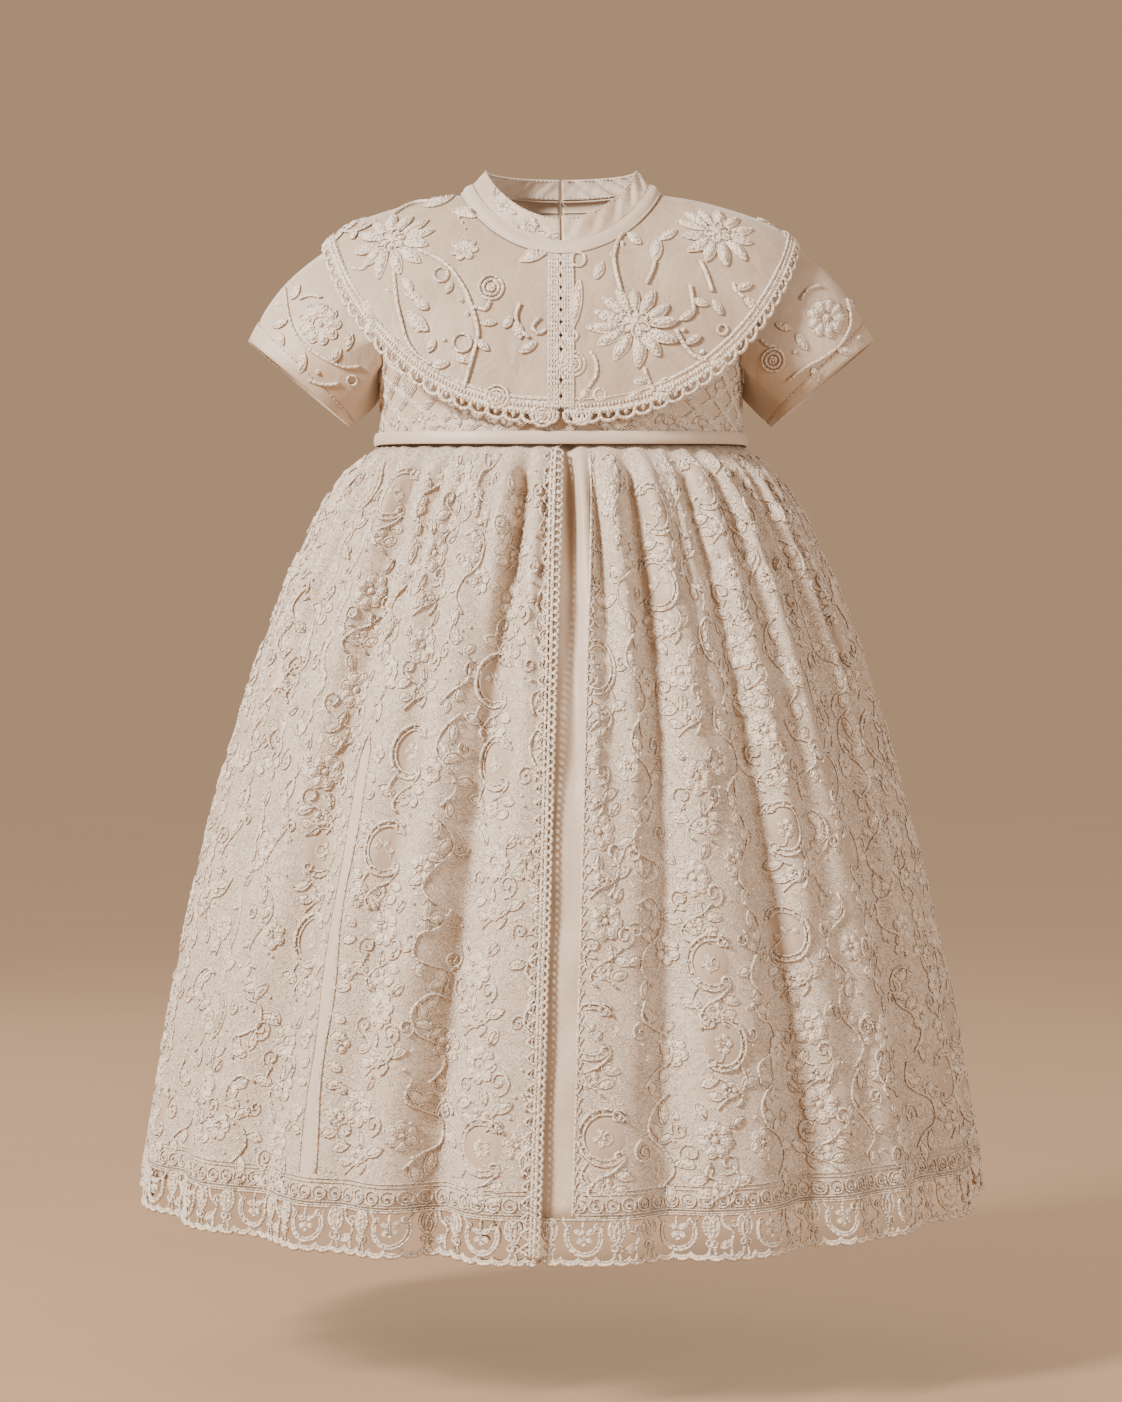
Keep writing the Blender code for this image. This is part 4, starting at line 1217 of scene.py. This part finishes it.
def make_braids():
    """The two front braids: three columns of chain stitches, with picots that meet in the middle."""
    first, last = 0.06, 4.05
    step = (last - first) / BRAID_STITCHES
    gap = (last - first) / BRAID_PICOTS
    for side, name in SIDES:
        sketch = Sketch()
        for column, radius in ((1.9, 0.62), (3.4, 0.55), (4.9, 0.6), (6.3, 0.62)):
            path = np.stack([np.full(60, column), np.linspace(first, last, 60)], -1)
            sketch.thread(path, radius, 0.9, 0.22)
        turn = np.linspace(0, 2 * np.pi, 6, endpoint=False)
        for y in first + (np.arange(BRAID_STITCHES) + 0.5) * step:
            for column, lean in ((2.65, -0.3), (4.15, 0.3), (5.6, 0.3)):
                outline = np.stack([column + 0.72 * np.cos(turn) + lean * np.sin(turn),
                                    y + step * 0.47 * np.sin(turn)], -1)
                sketch.pad(outline, 1.5, 0.6)
        turn = np.radians(np.linspace(-80, 80, 8))
        for y in first + (np.arange(BRAID_PICOTS) + 0.5) * gap:
            path = np.stack([1.7 - 1.25 * np.cos(turn), y + gap * 0.46 * np.sin(turn)], -1)
            sketch.thread(path, 0.6, 0.7)
        lace_piece("capelet_" + name + "_front_braid", front_edge_field(side), sketch,
                   "capelet_" + name + "_braid")


# Applique flowers, stems and leaves

def add_bloom(sketch, reach, petals, start=0.0):
    """A thick applique flower: long pointed pebbly petals round teardrop loops and a knot."""
    width = 2 * math.pi * reach * 0.60 / petals * 0.84
    for index in range(petals):
        turn = start + 360 * index / petals
        length = reach * (0.75 + 0.06 * math.sin(index * 2.4))
        foot = turned([(reach * 0.29, 0)], turn)[0]
        bend = 0.9 * math.sin(index * 1.7)
        outline = leaf_outline(foot, turn, length, width, 16, bend)
        sketch.corded_pad(outline, 0.72, 2.4, 0.78, sides=4, lift=0.8, spacing=1.2)
        for share, side in ((0.2, 0.5), (0.34, -0.9), (0.46, 0.9), (0.58, -0.7), (0.7, 0.5), (0.84, 0.0)):
            seed = turned([(length * share, bend + side * width * 0.17)], turn, foot)[0]
            add_knot(sketch, seed, 0.85, 2.9)
    loop = petal_outline(reach * 0.06, reach * 0.36, reach * 0.19)
    for index in range(6):
        sketch.cord(turned(loop, start + 25 + 60 * index), 0.55, closed=True, sides=4, lift=2.0, spacing=1.0)
    sketch.pad(circle((0, 0), reach * 0.38, 12), 1.7, 0.7)
    add_knot(sketch, (0, 0), reach * 0.11, 3.2)


def add_small_bloom(sketch, reach, petals):
    for index in range(petals):
        outline = turned(petal_outline(1.5, reach, 3.6, 12), 360 * index / petals + 12)
        sketch.corded_pad(outline, 0.55, 1.1, sides=4, lift=0.6, spacing=1.0)
    add_knot(sketch, (0, 0), 1.7, 1.9)


# Each raised flower: the node it stands for, angle round, row down, reach in millimetres, petals
BLOOMS = (
    ("flower_left_large", -64.0, 2.15, 22.0, 12),
    ("flower_right_large", 18.5, 2.34, 22.0, 13),
    ("flower_right_shoulder", 64.5, 1.76, 21.0, 12),
    ("flower_left_small", -43.0, 0.92, 7.4, 7),
)


def make_blooms():
    for node, degrees, row, reach, petals in BLOOMS:
        sketch = Sketch()
        if node == "flower_left_small":
            add_small_bloom(sketch, reach, petals)
        else:
            add_bloom(sketch, reach, petals, start=9.0 * row)
        lace_piece(node + "_applique", patch_field(capelet_surface, row, degrees), sketch, node)


# The photograph's pixels, for what lies on the capelet and sleeves: the stems' points, each leaf's
# foot, angle, length and width, and each ring's middle, reach and kind, which is how many rings it
# has, none for a knot, and from six on the number of a flower's petals
PIXEL_UNIT = PIXEL / MM

LEFT_CAPELET = (
    (
        ((419, 251), (431, 256), (442, 262), (453, 272), (463, 287), (470, 302), (475, 317), (478, 334),
         (474, 352), (469, 370), (464, 388)),
        ((394, 270), (395, 284), (397, 302), (401, 320), (407, 341), (418, 356), (432, 365)),
        ((474, 307), (480, 309), (486, 310), (490, 302)),
        ((392, 216), (404, 208), (419, 203), (436, 202)),
        ((372, 262), (362, 270), (352, 268)),
        ((520, 304), (516, 316), (520, 330), (529, 338)),
        ((540, 318), (532, 327), (538, 334), (546, 330)),
    ),
    (
        ((403, 278), 55, 12, 7), ((404, 292), 25, 14, 6), ((415, 300), 35, 12, 8), ((405, 312), 40, 22, 12),
        ((452, 283), 120, 9, 5), ((481, 323), 0, 11, 5), ((452, 212), 5, 24, 9), ((520, 262), -28, 26, 12),
        ((536, 343), 150, 14, 7), ((516, 322), 75, 13, 8), ((512, 317), 125, 10, 6), ((424, 207), -20, 24, 8),
        ((432, 366), -10, 13, 7), ((476, 340), 40, 12, 6), ((470, 362), 200, 12, 6), ((428, 352), -60, 10, 6),
        ((365, 300), 70, 13, 7), ((372, 318), 100, 12, 6),
    ),
    (
        ((441, 275), 7.0, 1), ((461, 301), 3.2, 0), ((467, 314), 3.2, 0), ((388, 291), 3.4, 0),
        ((462, 343), 9.0, 1), ((491, 288), 12.0, 3), ((497, 397), 11.5, 3), ((459, 218), 1.4, 0),
        ((462, 223), 1.4, 0), ((465, 229), 1.4, 0), ((418, 330), 3.0, 0), ((444, 340), 2.6, 0),
        ((447, 396), 5.5, 1), ((543, 416), 10.5, 3),
    ),
)
RIGHT_CAPELET = (
    (
        ((622, 233), (617, 244), (614, 257), (616, 272), (621, 292)),
        ((655, 262), (652, 272), (646, 284)),
        ((644, 368), (648, 380), (654, 392)),
        ((676, 330), (684, 345), (694, 356), (708, 362)),
        ((690, 286), (692, 297), (694, 312)),
        ((733, 284), (736, 292), (744, 298)),
        ((590, 352), (596, 362), (596, 376), (588, 388)),
        ((700, 262), (706, 274), (712, 292)),
    ),
    (
        ((573, 328), -82, 36, 9), ((655, 262), -85, 18, 10), ((628, 234), 40, 12, 7),
        ((602, 262), 110, 14, 8), ((692, 300), 20, 12, 6), ((694, 312), 150, 12, 6),
        ((736, 290), -20, 12, 6), ((713, 300), 60, 13, 6), ((654, 392), 30, 12, 6),
        ((648, 380), 170, 11, 6), ((708, 362), 10, 14, 7), ((686, 344), -30, 12, 6),
        ((588, 388), 120, 12, 6), ((660, 240), -30, 14, 7), ((744, 298), 40, 14, 7),
        ((640, 392), 150, 11, 5),
    ),
    (
        ((572, 336), 5.5, 1), ((573, 364), 12.0, 3), ((578, 260), 7.0, 1), ((582, 417), 8.0, 2),
        ((612, 254), 2.8, 0), ((622, 244), 2.8, 0), ((683, 330), 3.0, 0), ((702, 352), 3.0, 0),
        ((667, 385), 6.5, 1), ((722, 330), 5.0, 1), ((604, 300), 2.4, 0), ((600, 395), 6.0, 1),
    ),
)
LEFT_SLEEVE = (
    (((286, 289), (288, 308), (293, 328), (303, 343), (317, 354), (342, 366), (360, 366)),
     ((309, 380), (324, 384), (339, 383)), ((300, 300), (310, 296), (322, 298))),
    (((304, 352), 100, 16, 8), ((288, 320), 150, 12, 6), ((330, 362), -50, 13, 7), ((346, 350), -70, 13, 7),
     ((292, 300), -60, 12, 6), ((278, 330), 70, 12, 6)),
    (((320, 324), 21.0, 9), ((279, 305), 3.0, 0), ((318, 372), 3.0, 0), ((352, 380), 5.0, 1)),
)
RIGHT_SLEEVE = (
    (((846, 300), (850, 322), (842, 342), (826, 356), (804, 368), (788, 380)),
     ((761, 340), (768, 346), (775, 346)), ((800, 300), (808, 290), (820, 286))),
    (((761, 326), -80, 15, 8), ((806, 350), -120, 14, 7), ((836, 350), 10, 13, 6), ((792, 330), 200, 13, 6),
     ((848, 312), -70, 12, 6), ((812, 368), 60, 12, 6)),
    (((826, 318), 20.0, 9), ((773, 360), 11.0, 3), ((795, 352), 3.0, 0), ((858, 338), 3.0, 0)),
)


def draw_motifs(sketch, stems, leaves, rings, thick):
    """Draws stems, leaves, rings, buds and small flowers in the photograph's pixels."""
    for stem in stems:
        sketch.cord(curve(stem), 1.05 * thick, sides=5, lift=0.8, spacing=1.4, beads=0.10)
    for spot, degrees, length, width in leaves:
        length = length * 1.35
        outline = leaf_outline(spot, degrees, length, width * 1.05)
        sketch.corded_pad(outline, 0.66 * thick, 1.7 * thick, 0.78, sides=4, lift=0.7, spacing=1.2)
        for share, side in ((0.25, 0.0), (0.42, 0.14), (0.58, -0.14), (0.75, 0.0)):
            seed = turned([(length * share, width * side)], degrees, spot)[0]
            add_knot(sketch, seed, 1.4, 2.1 * thick)
    for spot, reach, kind in rings:
        if kind == 0:
            add_knot(sketch, spot, reach, 1.7)
        elif kind > 5:
            add_flower(sketch, spot, reach, kind, radius=0.6, pad=1.3)
        else:
            for ring in range(kind):
                add_ring(sketch, spot, reach - ring * reach * 0.36, 0.85 * thick, 1.2, sides=4, lift=0.7,
                         beads=0.15)
            if kind == 3:
                add_knot(sketch, spot, reach * 0.2, 1.6)


def make_appliques():
    """The stems, leaves and rings on the capelet halves and the sleeves."""
    places = (
        ("capelet_left_vines", capelet_surface, 2.0, -45.0, 1.0, 1.0, LEFT_CAPELET),
        ("capelet_right_vines", capelet_surface, 2.0, 40.0, 1.0, 1.0, RIGHT_CAPELET),
        ("sleeve_left_embroidery", sleeve_surface(-1), 0.6, 90.0, 1.0, 0.8, LEFT_SLEEVE),
        ("sleeve_right_embroidery", sleeve_surface(1), 0.6, 90.0, -1.0, 0.8, RIGHT_SLEEVE),
    )
    for name, surface, down, across, flip, thick, (stems, leaves, rings) in places:
        sketch = Sketch(PIXEL_UNIT)
        draw_motifs(sketch, stems, leaves, rings, thick)
        lace_piece(name, photo_field(surface, down, across, flip), sketch)


# The back of the capelet carries similar sprays: angle round, row down and lean of each
BACK_SPRAYS = ((118.0, 2.3, 20), (148.0, 2.6, -30), (-112.0, 2.1, -10), (-146.0, 2.7, 35),
               (96.0, 3.2, 60), (-92.0, 3.1, -70))


def spray(size):
    """A flower with a curling stem, leaves and buds."""
    sketch = Sketch()
    add_flower(sketch, (0, 0), 9.5 * size, 8, radius=0.55, pad=1.3)
    stem = np.array([(0, 9), (2, 16), (8, 22), (15, 24), (20, 20), (18, 15)])
    sketch.cord(curve(stem * size), 0.8, sides=4, lift=0.6, spacing=1.4)
    for x, y, degrees, length, width in ((3, 17, -50, 9, 4.5), (9, 22, 70, 9, 4.5), (2, 15, 130, 10, 5),
                                         (-9, 6, 150, 9, 4.5), (9, -6, -30, 9, 4.5)):
        outline = leaf_outline((x * size, y * size), degrees, length * size, width * size)
        sketch.corded_pad(outline, 0.5, 1.1, sides=4, lift=0.5, spacing=1.2)
    add_knot(sketch, (14 * size, 17 * size), 1.6, 1.5)
    return sketch


def make_back_sprays():
    bag = Bag()
    for degrees, row, lean in BACK_SPRAYS:
        sketch = Sketch()
        sketch.stamp(spray(1.0), degrees=lean)
        sketch.make(patch_field(capelet_surface, row, degrees), bag)
    dress(bag.build("capelet_back_sprays", COTTON))
    bag = Bag()
    for side, _ in SIDES:
        spray(0.9).make(patch_field(sleeve_surface(side), 0.42, 270.0, -side, CUFF_STEP), bag)
    dress(bag.build("sleeve_back_sprays", COTTON))


# Skirt lace: scroll medallions in columns, with stems, leaves and flowers between them

ROWS = 8
ROW_PITCH = 46.0
FIRST_ROW = 25.0
MEDALLION = 13.2
STEMS = (
    ((-6, -24), (4, -16), (7, -5), (-3, 5), (-7, 14), (1, 22)),
    ((6, -23), (9, -13), (1, -7), (-8, -2), (-8, 9), (1, 14), (8, 21)),
    ((-9, -19), (0, -22), (8, -14), (5, -3), (-4, 3), (-8, 13), (-1, 22)),
    ((8, -21), (2, -12), (-7, -9), (-9, 1), (-1, 6), (8, 10), (6, 20)),
)


def medallion(sketch, spot, mirror, sprig, full):
    """An open scroll of two cords with a beaded band between, and a sprig in its plain middle."""
    motif = Sketch()
    motif.cord(arc((0, 0), MEDALLION, -150, 135, 40, squash=1.04), 1.0, spacing=2.3, beads=0.14)
    motif.cord(arc((0, 0), MEDALLION - 2.5, -140, 128, 32, squash=1.04), 0.7, spacing=2.1)
    motif.cord(spiral((-6.6, -9.8), 4.2, 1.0, 1.15, 190, 20), 0.8)
    motif.cord(spiral((-6.4, 9.6), 4.0, 1.0, 1.15, 100, 20), 0.8)
    reach = MEDALLION - 1.25
    for degrees in range(-140, 130, 27 if full else 54):
        turn = math.radians(degrees)
        add_knot(motif, (reach * math.cos(turn), reach * 1.04 * math.sin(turn)), 0.95, 1.1)
    if sprig == 0:
        motif.cord(spiral((-0.6, 0), 4.6, 1.0, 1.2, 20, 22), 0.65)
        for degrees in (-70, 10, 80):
            add_leaf(motif, (1.2, 0.4), degrees, 5.8, 3.0, 0.45)
    elif sprig == 1:
        add_flower(motif, (0, 0), 5.0, 5, pad=0.7)
        motif.cord(curve([(0, 4.5), (-1.5, 8.5), (-5.5, 9.0)]), 0.55, spacing=2.2)
    else:
        motif.cord(curve([(-7.0, 7.0), (-3.0, 4.5), (1.0, 0.0), (4.5, -4.5)]), 0.55, spacing=2.2)
        for x, degrees in ((-3.0, -100), (1.0, -110), (2.6, 0)):
            add_leaf(motif, (x, 1.2 - x), degrees, 5.4, 2.8, 0.45)
    sketch.stamp(motif, move=spot, mirror=mirror)


def link(sketch, spot, mirror, full):
    """The scrolls and leaves that join a medallion to the one below it."""
    motif = Sketch()
    motif.cord(curve([(-9, 12), (-3, 17), (4, 20), (9, 26), (5, 31)]), 0.85, spacing=2.3, beads=0.12)
    motif.cord(curve([(9, 12), (12, 18), (8, 24), (0, 27), (-6, 32)]), 0.7, spacing=2.3)
    add_leaf(motif, (-4, 17), 165, 10.5, 5.4)
    add_leaf(motif, (8, 21), -20, 11.0, 5.6)
    if full:
        add_leaf(motif, (-2, 26), 190, 9.5, 5.0)
        add_flower(motif, (1.5, 22.8), 4.6, 5, pad=0.8)
    sketch.stamp(motif, move=spot, mirror=mirror)


def vine(sketch, spot, number, full):
    """A piece of winding stem between two columns, with leaves, buds and flowers, none quite alike."""
    motif = Sketch()
    stem = curve(STEMS[(number * 3 + number // 5) % len(STEMS)])
    motif.cord(stem, 0.85, spacing=2.3, beads=0.12)
    for index in range(3, len(stem) - 3, 6 if full else 10):
        step = stem[index + 1] - stem[index]
        lean = math.degrees(math.atan2(step[1], step[0]))
        side = 1 if index // 3 % 2 else -1
        length = 10.0 + 2.0 * math.sin(number * 1.9 + index)
        add_leaf(motif, stem[index], lean + side * 56, length, 5.0, vein=full and index % 2 == 0,
                 bend=0.9 * side)
    turn = 1 if number % 2 else -1
    if number % 3:
        add_flower(motif, (9.5 * turn, 4.5), 7.2, 6 if full else 5, 0.52, number * 17, 0.9)
    else:
        motif.cord(spiral((10.0 * turn, 3.5), 6.4, 1.2, 1.5, 160 + number * 40, 30), 0.75, spacing=1.9)
    if full:
        curl = spiral((-10.5 * turn, -6.0), 4.8, 1.0, 1.3, number * 55 - 20, 24)
        motif.cord(curl, 0.7, spacing=1.9)
        for place in np.random.default_rng(number).uniform((-14, -22), (14, 22), (9, 2)):
            add_knot(motif, place, 1.15, 1.1)
    sketch.stamp(motif, move=spot, mirror=number % 4 > 1)


def plain_strip(sketch, x):
    """Two beaded cords that edge a strip of bare satin, with small leaves outside them."""
    foot = HEM - RING_BAND
    y = np.linspace(PLAIN_TOP, foot, 120)
    for side in (-1, 1):
        waver = 1.1 * np.sin(y * 0.07 + side * 0.8) - side * 4.3 * np.exp((PLAIN_TOP - y) / 7)
        sketch.cord(np.stack([x + side * PLAIN_HALF + waver, y], -1), 0.75, spacing=1.9, beads=0.2)
        for index, level in enumerate(np.arange(PLAIN_TOP + 8, foot - 8, 12.0)):
            lean = 90 - side * (62 if index % 2 else 100)
            add_leaf(sketch, (x + side * (PLAIN_HALF + 1.6), level), lean, 9.5, 4.8)
            if index % 3 == 0:
                add_flower(sketch, (x + side * (PLAIN_HALF + 8.5), level + 3), 4.6, 5, pad=0.8)


def palmette(sketch, spot, number, full):
    """A large open flower on two scrolls, in the places without a medallion."""
    motif = Sketch()
    add_flower(motif, (0, -1), 9.5, 7 if number % 2 or not full else 8, 0.6, number * 13, 1.1)
    motif.cord(spiral((-9.5, 9.0), 6.5, 1.4, 1.3, 80, 26), 0.8, spacing=2.0, beads=0.12)
    motif.cord(spiral((9.5, 8.0), 6.0, 1.4, -1.3, 100, 26), 0.8, spacing=2.0, beads=0.12)
    for place, lean in (((-7, -9), -130), ((7, -9), -50), ((0, 10), 90)):
        add_leaf(motif, place, lean, 9.5, 5.0, vein=full)
    sketch.stamp(motif, 18 * math.sin(number * 2.7), spot, number % 2 == 0)


def ring_band(sketch, first, last):
    """The band above the lining's hem: rings in rings between thin cords."""
    middle = HEM - RING_BAND / 2
    for x in lattice_x(first, last, RING_PITCH):
        add_ring(sketch, (x, middle + 1.5), 3.4, 0.62, spacing=1.6)
        sketch.cord(spiral((x, middle + 1.9), 2.0, 0.7, 1.0, 30, 9), 0.55, spacing=1.5)
    for y in (HEM - RING_BAND + 2.6, HEM - RING_BAND + 4.4, HEM - 2.2, HEM - 0.8):
        sketch.cord([(first, y), (last, y)], 0.5, spacing=3.0)


def draw_skirt(first, last, full):
    """All motifs between two places round the cloth, in millimetres from the centre front."""
    sketch = Sketch()
    middles = Sketch()
    low = math.floor((first - FIRST_COLUMN) / COLUMN_PITCH) - 1
    high = math.ceil((last - FIRST_COLUMN) / COLUMN_PITCH) + 1
    for column in range(low, high):
        x = FIRST_COLUMN + column * COLUMN_PITCH
        between = x + COLUMN_PITCH / 2
        strip = column in PLAIN_STRIPS
        if strip:
            plain_strip(sketch, between)
        for row in range(ROWS):
            number = (column % COLUMNS) * ROWS + row
            y = FIRST_ROW + row * ROW_PITCH
            rise = 6.0 * math.sin(number * 1.3 + 1.0) + (column % 2) * 14.0 - 7.0
            spot = (x + 5.0 * math.sin(number * 2.1), y + rise)
            mirror = (number * 5 // 3) % 2 == 1
            if (number * 7 + column) % 5 in (0, 2):
                medallion(sketch, spot, mirror, number % 3, full)
                middles.disc(circle(spot, MEDALLION - 2.8, 14), 0.32)
            elif full or number % 2:
                palmette(sketch, spot, number, full)
            if full or number % 3 == 0:
                link(sketch, spot, mirror, full)
            if (full or number % 3) and (not strip or y < PLAIN_TOP - 20):
                vine(sketch, (between, y + 4.0 * math.sin(number)), number, full)
    ring_band(sketch, first, last)
    return sketch, middles


# Each panel's lace in degrees, and the limits on it at each place down
PANEL_SPANS = {"left": (-PANEL_SIDE, -0.4), "right": (1.0, PANEL_SIDE),
               "back": (PANEL_SIDE, 360 - PANEL_SIDE)}
LACE_LIMITS = {
    "left": lambda down: (-PANEL_SIDE, lap_edge(down) - 0.9),
    "right": lambda down: (strip_edge(down) + 0.4, PANEL_SIDE),
    "back": lambda down: (PANEL_SIDE, 360 - PANEL_SIDE),
}


def make_skirt_lace():
    for name, (first, last) in PANEL_SPANS.items():
        def keep(down, across, limits=LACE_LIMITS[name]):
            low, high = limits(down)
            return (across > low) & (across < high) & (down > 0.012) & (down < 1.0)

        field = skirt_field(PANEL_SURFACES[name])
        sketch, middles = draw_skirt(cloth_x(first), cloth_x(last), name != "back")
        lace_piece("skirt_" + name + "_lace", field, sketch, keep=keep)
        lace_piece("skirt_" + name + "_medallion_grounds", field, middles, keep=keep,
                   material=GROUND_SATIN)


def make_lap_edges():
    """The lace's beaded edge beside the plain satin strip."""
    sketch = Sketch()
    y = np.linspace(4, HEM - 1, 200)
    sketch.thread(np.stack([np.full(200, STRIP_WIDTH), y], -1), 0.7, 0.4, 0.15)
    sketch.cord(np.stack([STRIP_WIDTH + 1.3 * np.sin(y * 1.1) + 1.4, y], -1), 0.5, spacing=1.6)
    lace_piece("skirt_right_lace_edge", lap_field(under_surface), sketch)


# Bodice lattice, stitches and neck details

LATTICE_PITCH = 27.0
LATTICE_SPAN = 88.0
DEGREE_WIDTH = 1.745
# The cords of one band: how far down each lies and its radius, in front and behind
FRONT_BANDS = ((-1.7, 0.55), (-0.6, 0.8), (0.6, 0.8), (1.7, 0.55))
BACK_BANDS = ((0, 1.2),)
# The leaves between the bands: how far down, and the share of a pitch that they are moved by
FRONT_LEAVES = ((107.0, 0.5), (122.0, 0.0))
BACK_LEAVES = ((112.0, 0.0),)


def torso_field():
    """Millimetres round the torso, and millimetres below the neckline."""
    rows = np.linspace(2.5, 8.0, 34)

    def place(path):
        degrees = path[:, 0] / DEGREE_WIDTH
        heights = torso_surface(rows[None, :], degrees[:, None])[..., 2] / MM
        downs = [np.interp(-level, one[::-1], rows[::-1]) for level, one in zip(path[:, 1], heights)]
        return np.array(downs), degrees
    return Field(torso_surface, place, step_down=RING_STEP)


def make_lattice():
    """The crossing pebbly bands of the bodice, below the capelet, with leaves between them."""
    for name, centre, bands, rows in (("front", 0.0, FRONT_BANDS, FRONT_LEAVES),
                                      ("back", 180.0, BACK_BANDS, BACK_LEAVES)):
        sketch = Sketch()
        middle = centre * DEGREE_WIDTH
        for number in range(-6, 7):
            x = middle + number * LATTICE_PITCH
            for lean in (-1, 1):
                band = np.array([(x - lean * 118.0, 58.0), (x, 118.0), (x + lean * 36.0, 136.5)])
                for shift, radius in bands:
                    sketch.cord(band + (0, shift), radius, lift=0.25, spacing=2.5, beads=0.2)
            for level, moved in rows:
                for degrees in (-160, -110, -40, 30, 115):
                    add_leaf(sketch, (x + moved * LATTICE_PITCH, level), degrees + number * 11, 6.2, 2.8,
                             0.4, pad=0.6)

        def keep(down, across, centre=centre):
            span = np.minimum(LATTICE_SPAN, armhole_angle(down) - 2)
            return (np.abs(across - centre) < span) & (down < 7.8) & (down > 4.4)

        lace_piece("bodice_lattice_" + name, torso_field(), sketch, keep=keep)


def make_piping():
    """Piping under the neck binding and along its top."""
    bag = Bag()
    angles = np.linspace(-178.8, 178.8, 240)
    for down, lift, radius, sides in ((1.96, 0.4, 0.75, 6), (0.06, 0.2, 0.45, 5)):
        normal = normal_at(band_surface, np.full(240, down), angles, RING_STEP)
        points = band_surface(down, angles) + normal * lift * MM
        add_tube(bag, points, normal, radius * MM, sides)
    dress(bag.build("neck_piping", BAND_SATIN))


STITCH_LENGTH = 1.5
STITCH_GAP = 1.1


def make_stitches():
    """Rows of small stitches along the collar's edges, inside and out, and round the sleeve hems."""
    bag = Bag()
    for side, _ in SIDES:
        sketch = Sketch()
        for y, lift in ((1.2, -1.25), (14.6, -1.25), (1.0, 0.2)):
            places = resample([(1.0, y), (136.0, y)], (STITCH_LENGTH + STITCH_GAP) / 2)
            for first, last in zip(places[:-1:2], places[1::2]):
                sketch.thread(np.array([first, (first + last) / 2, last]), 0.25, lift)
        field = Field(collar_surface, lambda path, side=side: (path[:, 1] / 8.0, path[:, 0] * 1.3 * side),
                      step_down=RING_STEP)
        sketch.make(field, bag)
    for side, _ in SIDES:
        sketch = Sketch()
        for degrees in np.arange(0, 360, 5.0):
            path = [(degrees + step, SLEEVE_HEM) for step in (0.0, 1.5, 3.0)]
            sketch.thread(np.array(path), 0.3, 0.15)
        field = Field(sleeve_surface(side), lambda path: (path[:, 1], path[:, 0]), -side, CUFF_STEP)
        sketch.make(field, bag)
    dress(bag.build("gown_stitches", COTTON))


def make_collar_embroidery():
    """Two flowers and five leaves on the left half of the collar, in the photograph's pixels."""
    sketch = Sketch(PIXEL_UNIT)
    for spot, reach, petals in (((529, 225), 9.0, 7), ((503, 206), 6.5, 6)):
        add_flower(sketch, spot, reach, petals, radius=0.42, pad=0.6)
    for spot, degrees, length, width in (((538, 232), 20, 14, 6), ((516, 214), -150, 13, 6),
                                         ((512, 222), 60, 12, 6), ((495, 196), -70, 12, 5),
                                         ((547, 238), -15, 14, 5)):
        sketch.corded_pad(leaf_outline(spot, degrees, length, width), 0.42, 0.5, spacing=1.2)
    lace_piece("collar_left_embroidery", photo_field(collar_surface, 1.0, -30.0), sketch,
               keep=lambda down, across: (down > 0.1) & (down < 1.95) & (across < -1.5))


# Floor, light and camera

FLOOR_Z = -0.62
FLOOR_HALF = 14.0
CAMERA_VIEW_HIGH = FRAME_HIGH * PIXEL
LIGHT_COLOUR = (1.0, 0.95, 0.89)
# Each light: place, size in metres and power in watts
LIGHTS = {
    "key": ((-1.50, -1.30, 0.95), 0.42, 142.0),
    "fill": ((1.9, -1.35, 0.25), 1.1, 31.0),
    "back": ((-0.6, 1.6, 0.9), 1.2, 20.0),
}


def make_stage():
    bpy.ops.mesh.primitive_plane_add(size=FLOOR_HALF * 2, location=(0, 0, FLOOR_Z))
    floor = bpy.context.object
    floor.name = "floor"
    floor.data.materials.append(floor_paper("floor_paper"))
    world = bpy.data.worlds.new("studio")
    world.use_nodes = True
    background = world.node_tree.nodes["Background"]
    background.inputs["Color"].default_value = WORLD_COLOUR
    background.inputs["Strength"].default_value = WORLD_STRENGTH
    bpy.context.scene.world = world
    for name, (place, size, power) in LIGHTS.items():
        data = bpy.data.lights.new(name, "AREA")
        data.size = size
        data.energy = power
        data.color = LIGHT_COLOUR
        light = bpy.data.objects.new(name, data)
        light.location = place
        aim = np.array((0, 0, CAMERA_Z)) - np.array(place)
        light.rotation_euler = (math.atan2(math.hypot(aim[0], aim[1]), -aim[2]), 0,
                                math.atan2(-aim[0], aim[1]))
        bpy.context.scene.collection.objects.link(light)


def make_camera():
    data = bpy.data.cameras.new("camera")
    data.lens = data.sensor_width / 2 / (CAMERA_VIEW_HIGH / 2 / CAMERA_DISTANCE)
    data.clip_end = 60
    camera = bpy.data.objects.new("camera", data)
    camera.location = (0, -CAMERA_DISTANCE, CAMERA_Z)
    camera.rotation_euler = (math.pi / 2, 0, 0)
    bpy.context.scene.collection.objects.link(camera)
    bpy.context.scene.camera = camera


make_stage()
make_camera()
make_collar()
make_neck_band()
make_bodice()
make_waist_band()
make_sleeves()
make_capelets()
make_skirt()
make_buttons()
make_hem_lace()
make_front_trim()
make_capelet_edging()
make_braids()
make_blooms()
make_appliques()
make_back_sprays()
make_skirt_lace()
make_lap_edges()
make_lattice()
make_piping()
make_stitches()
make_collar_embroidery()
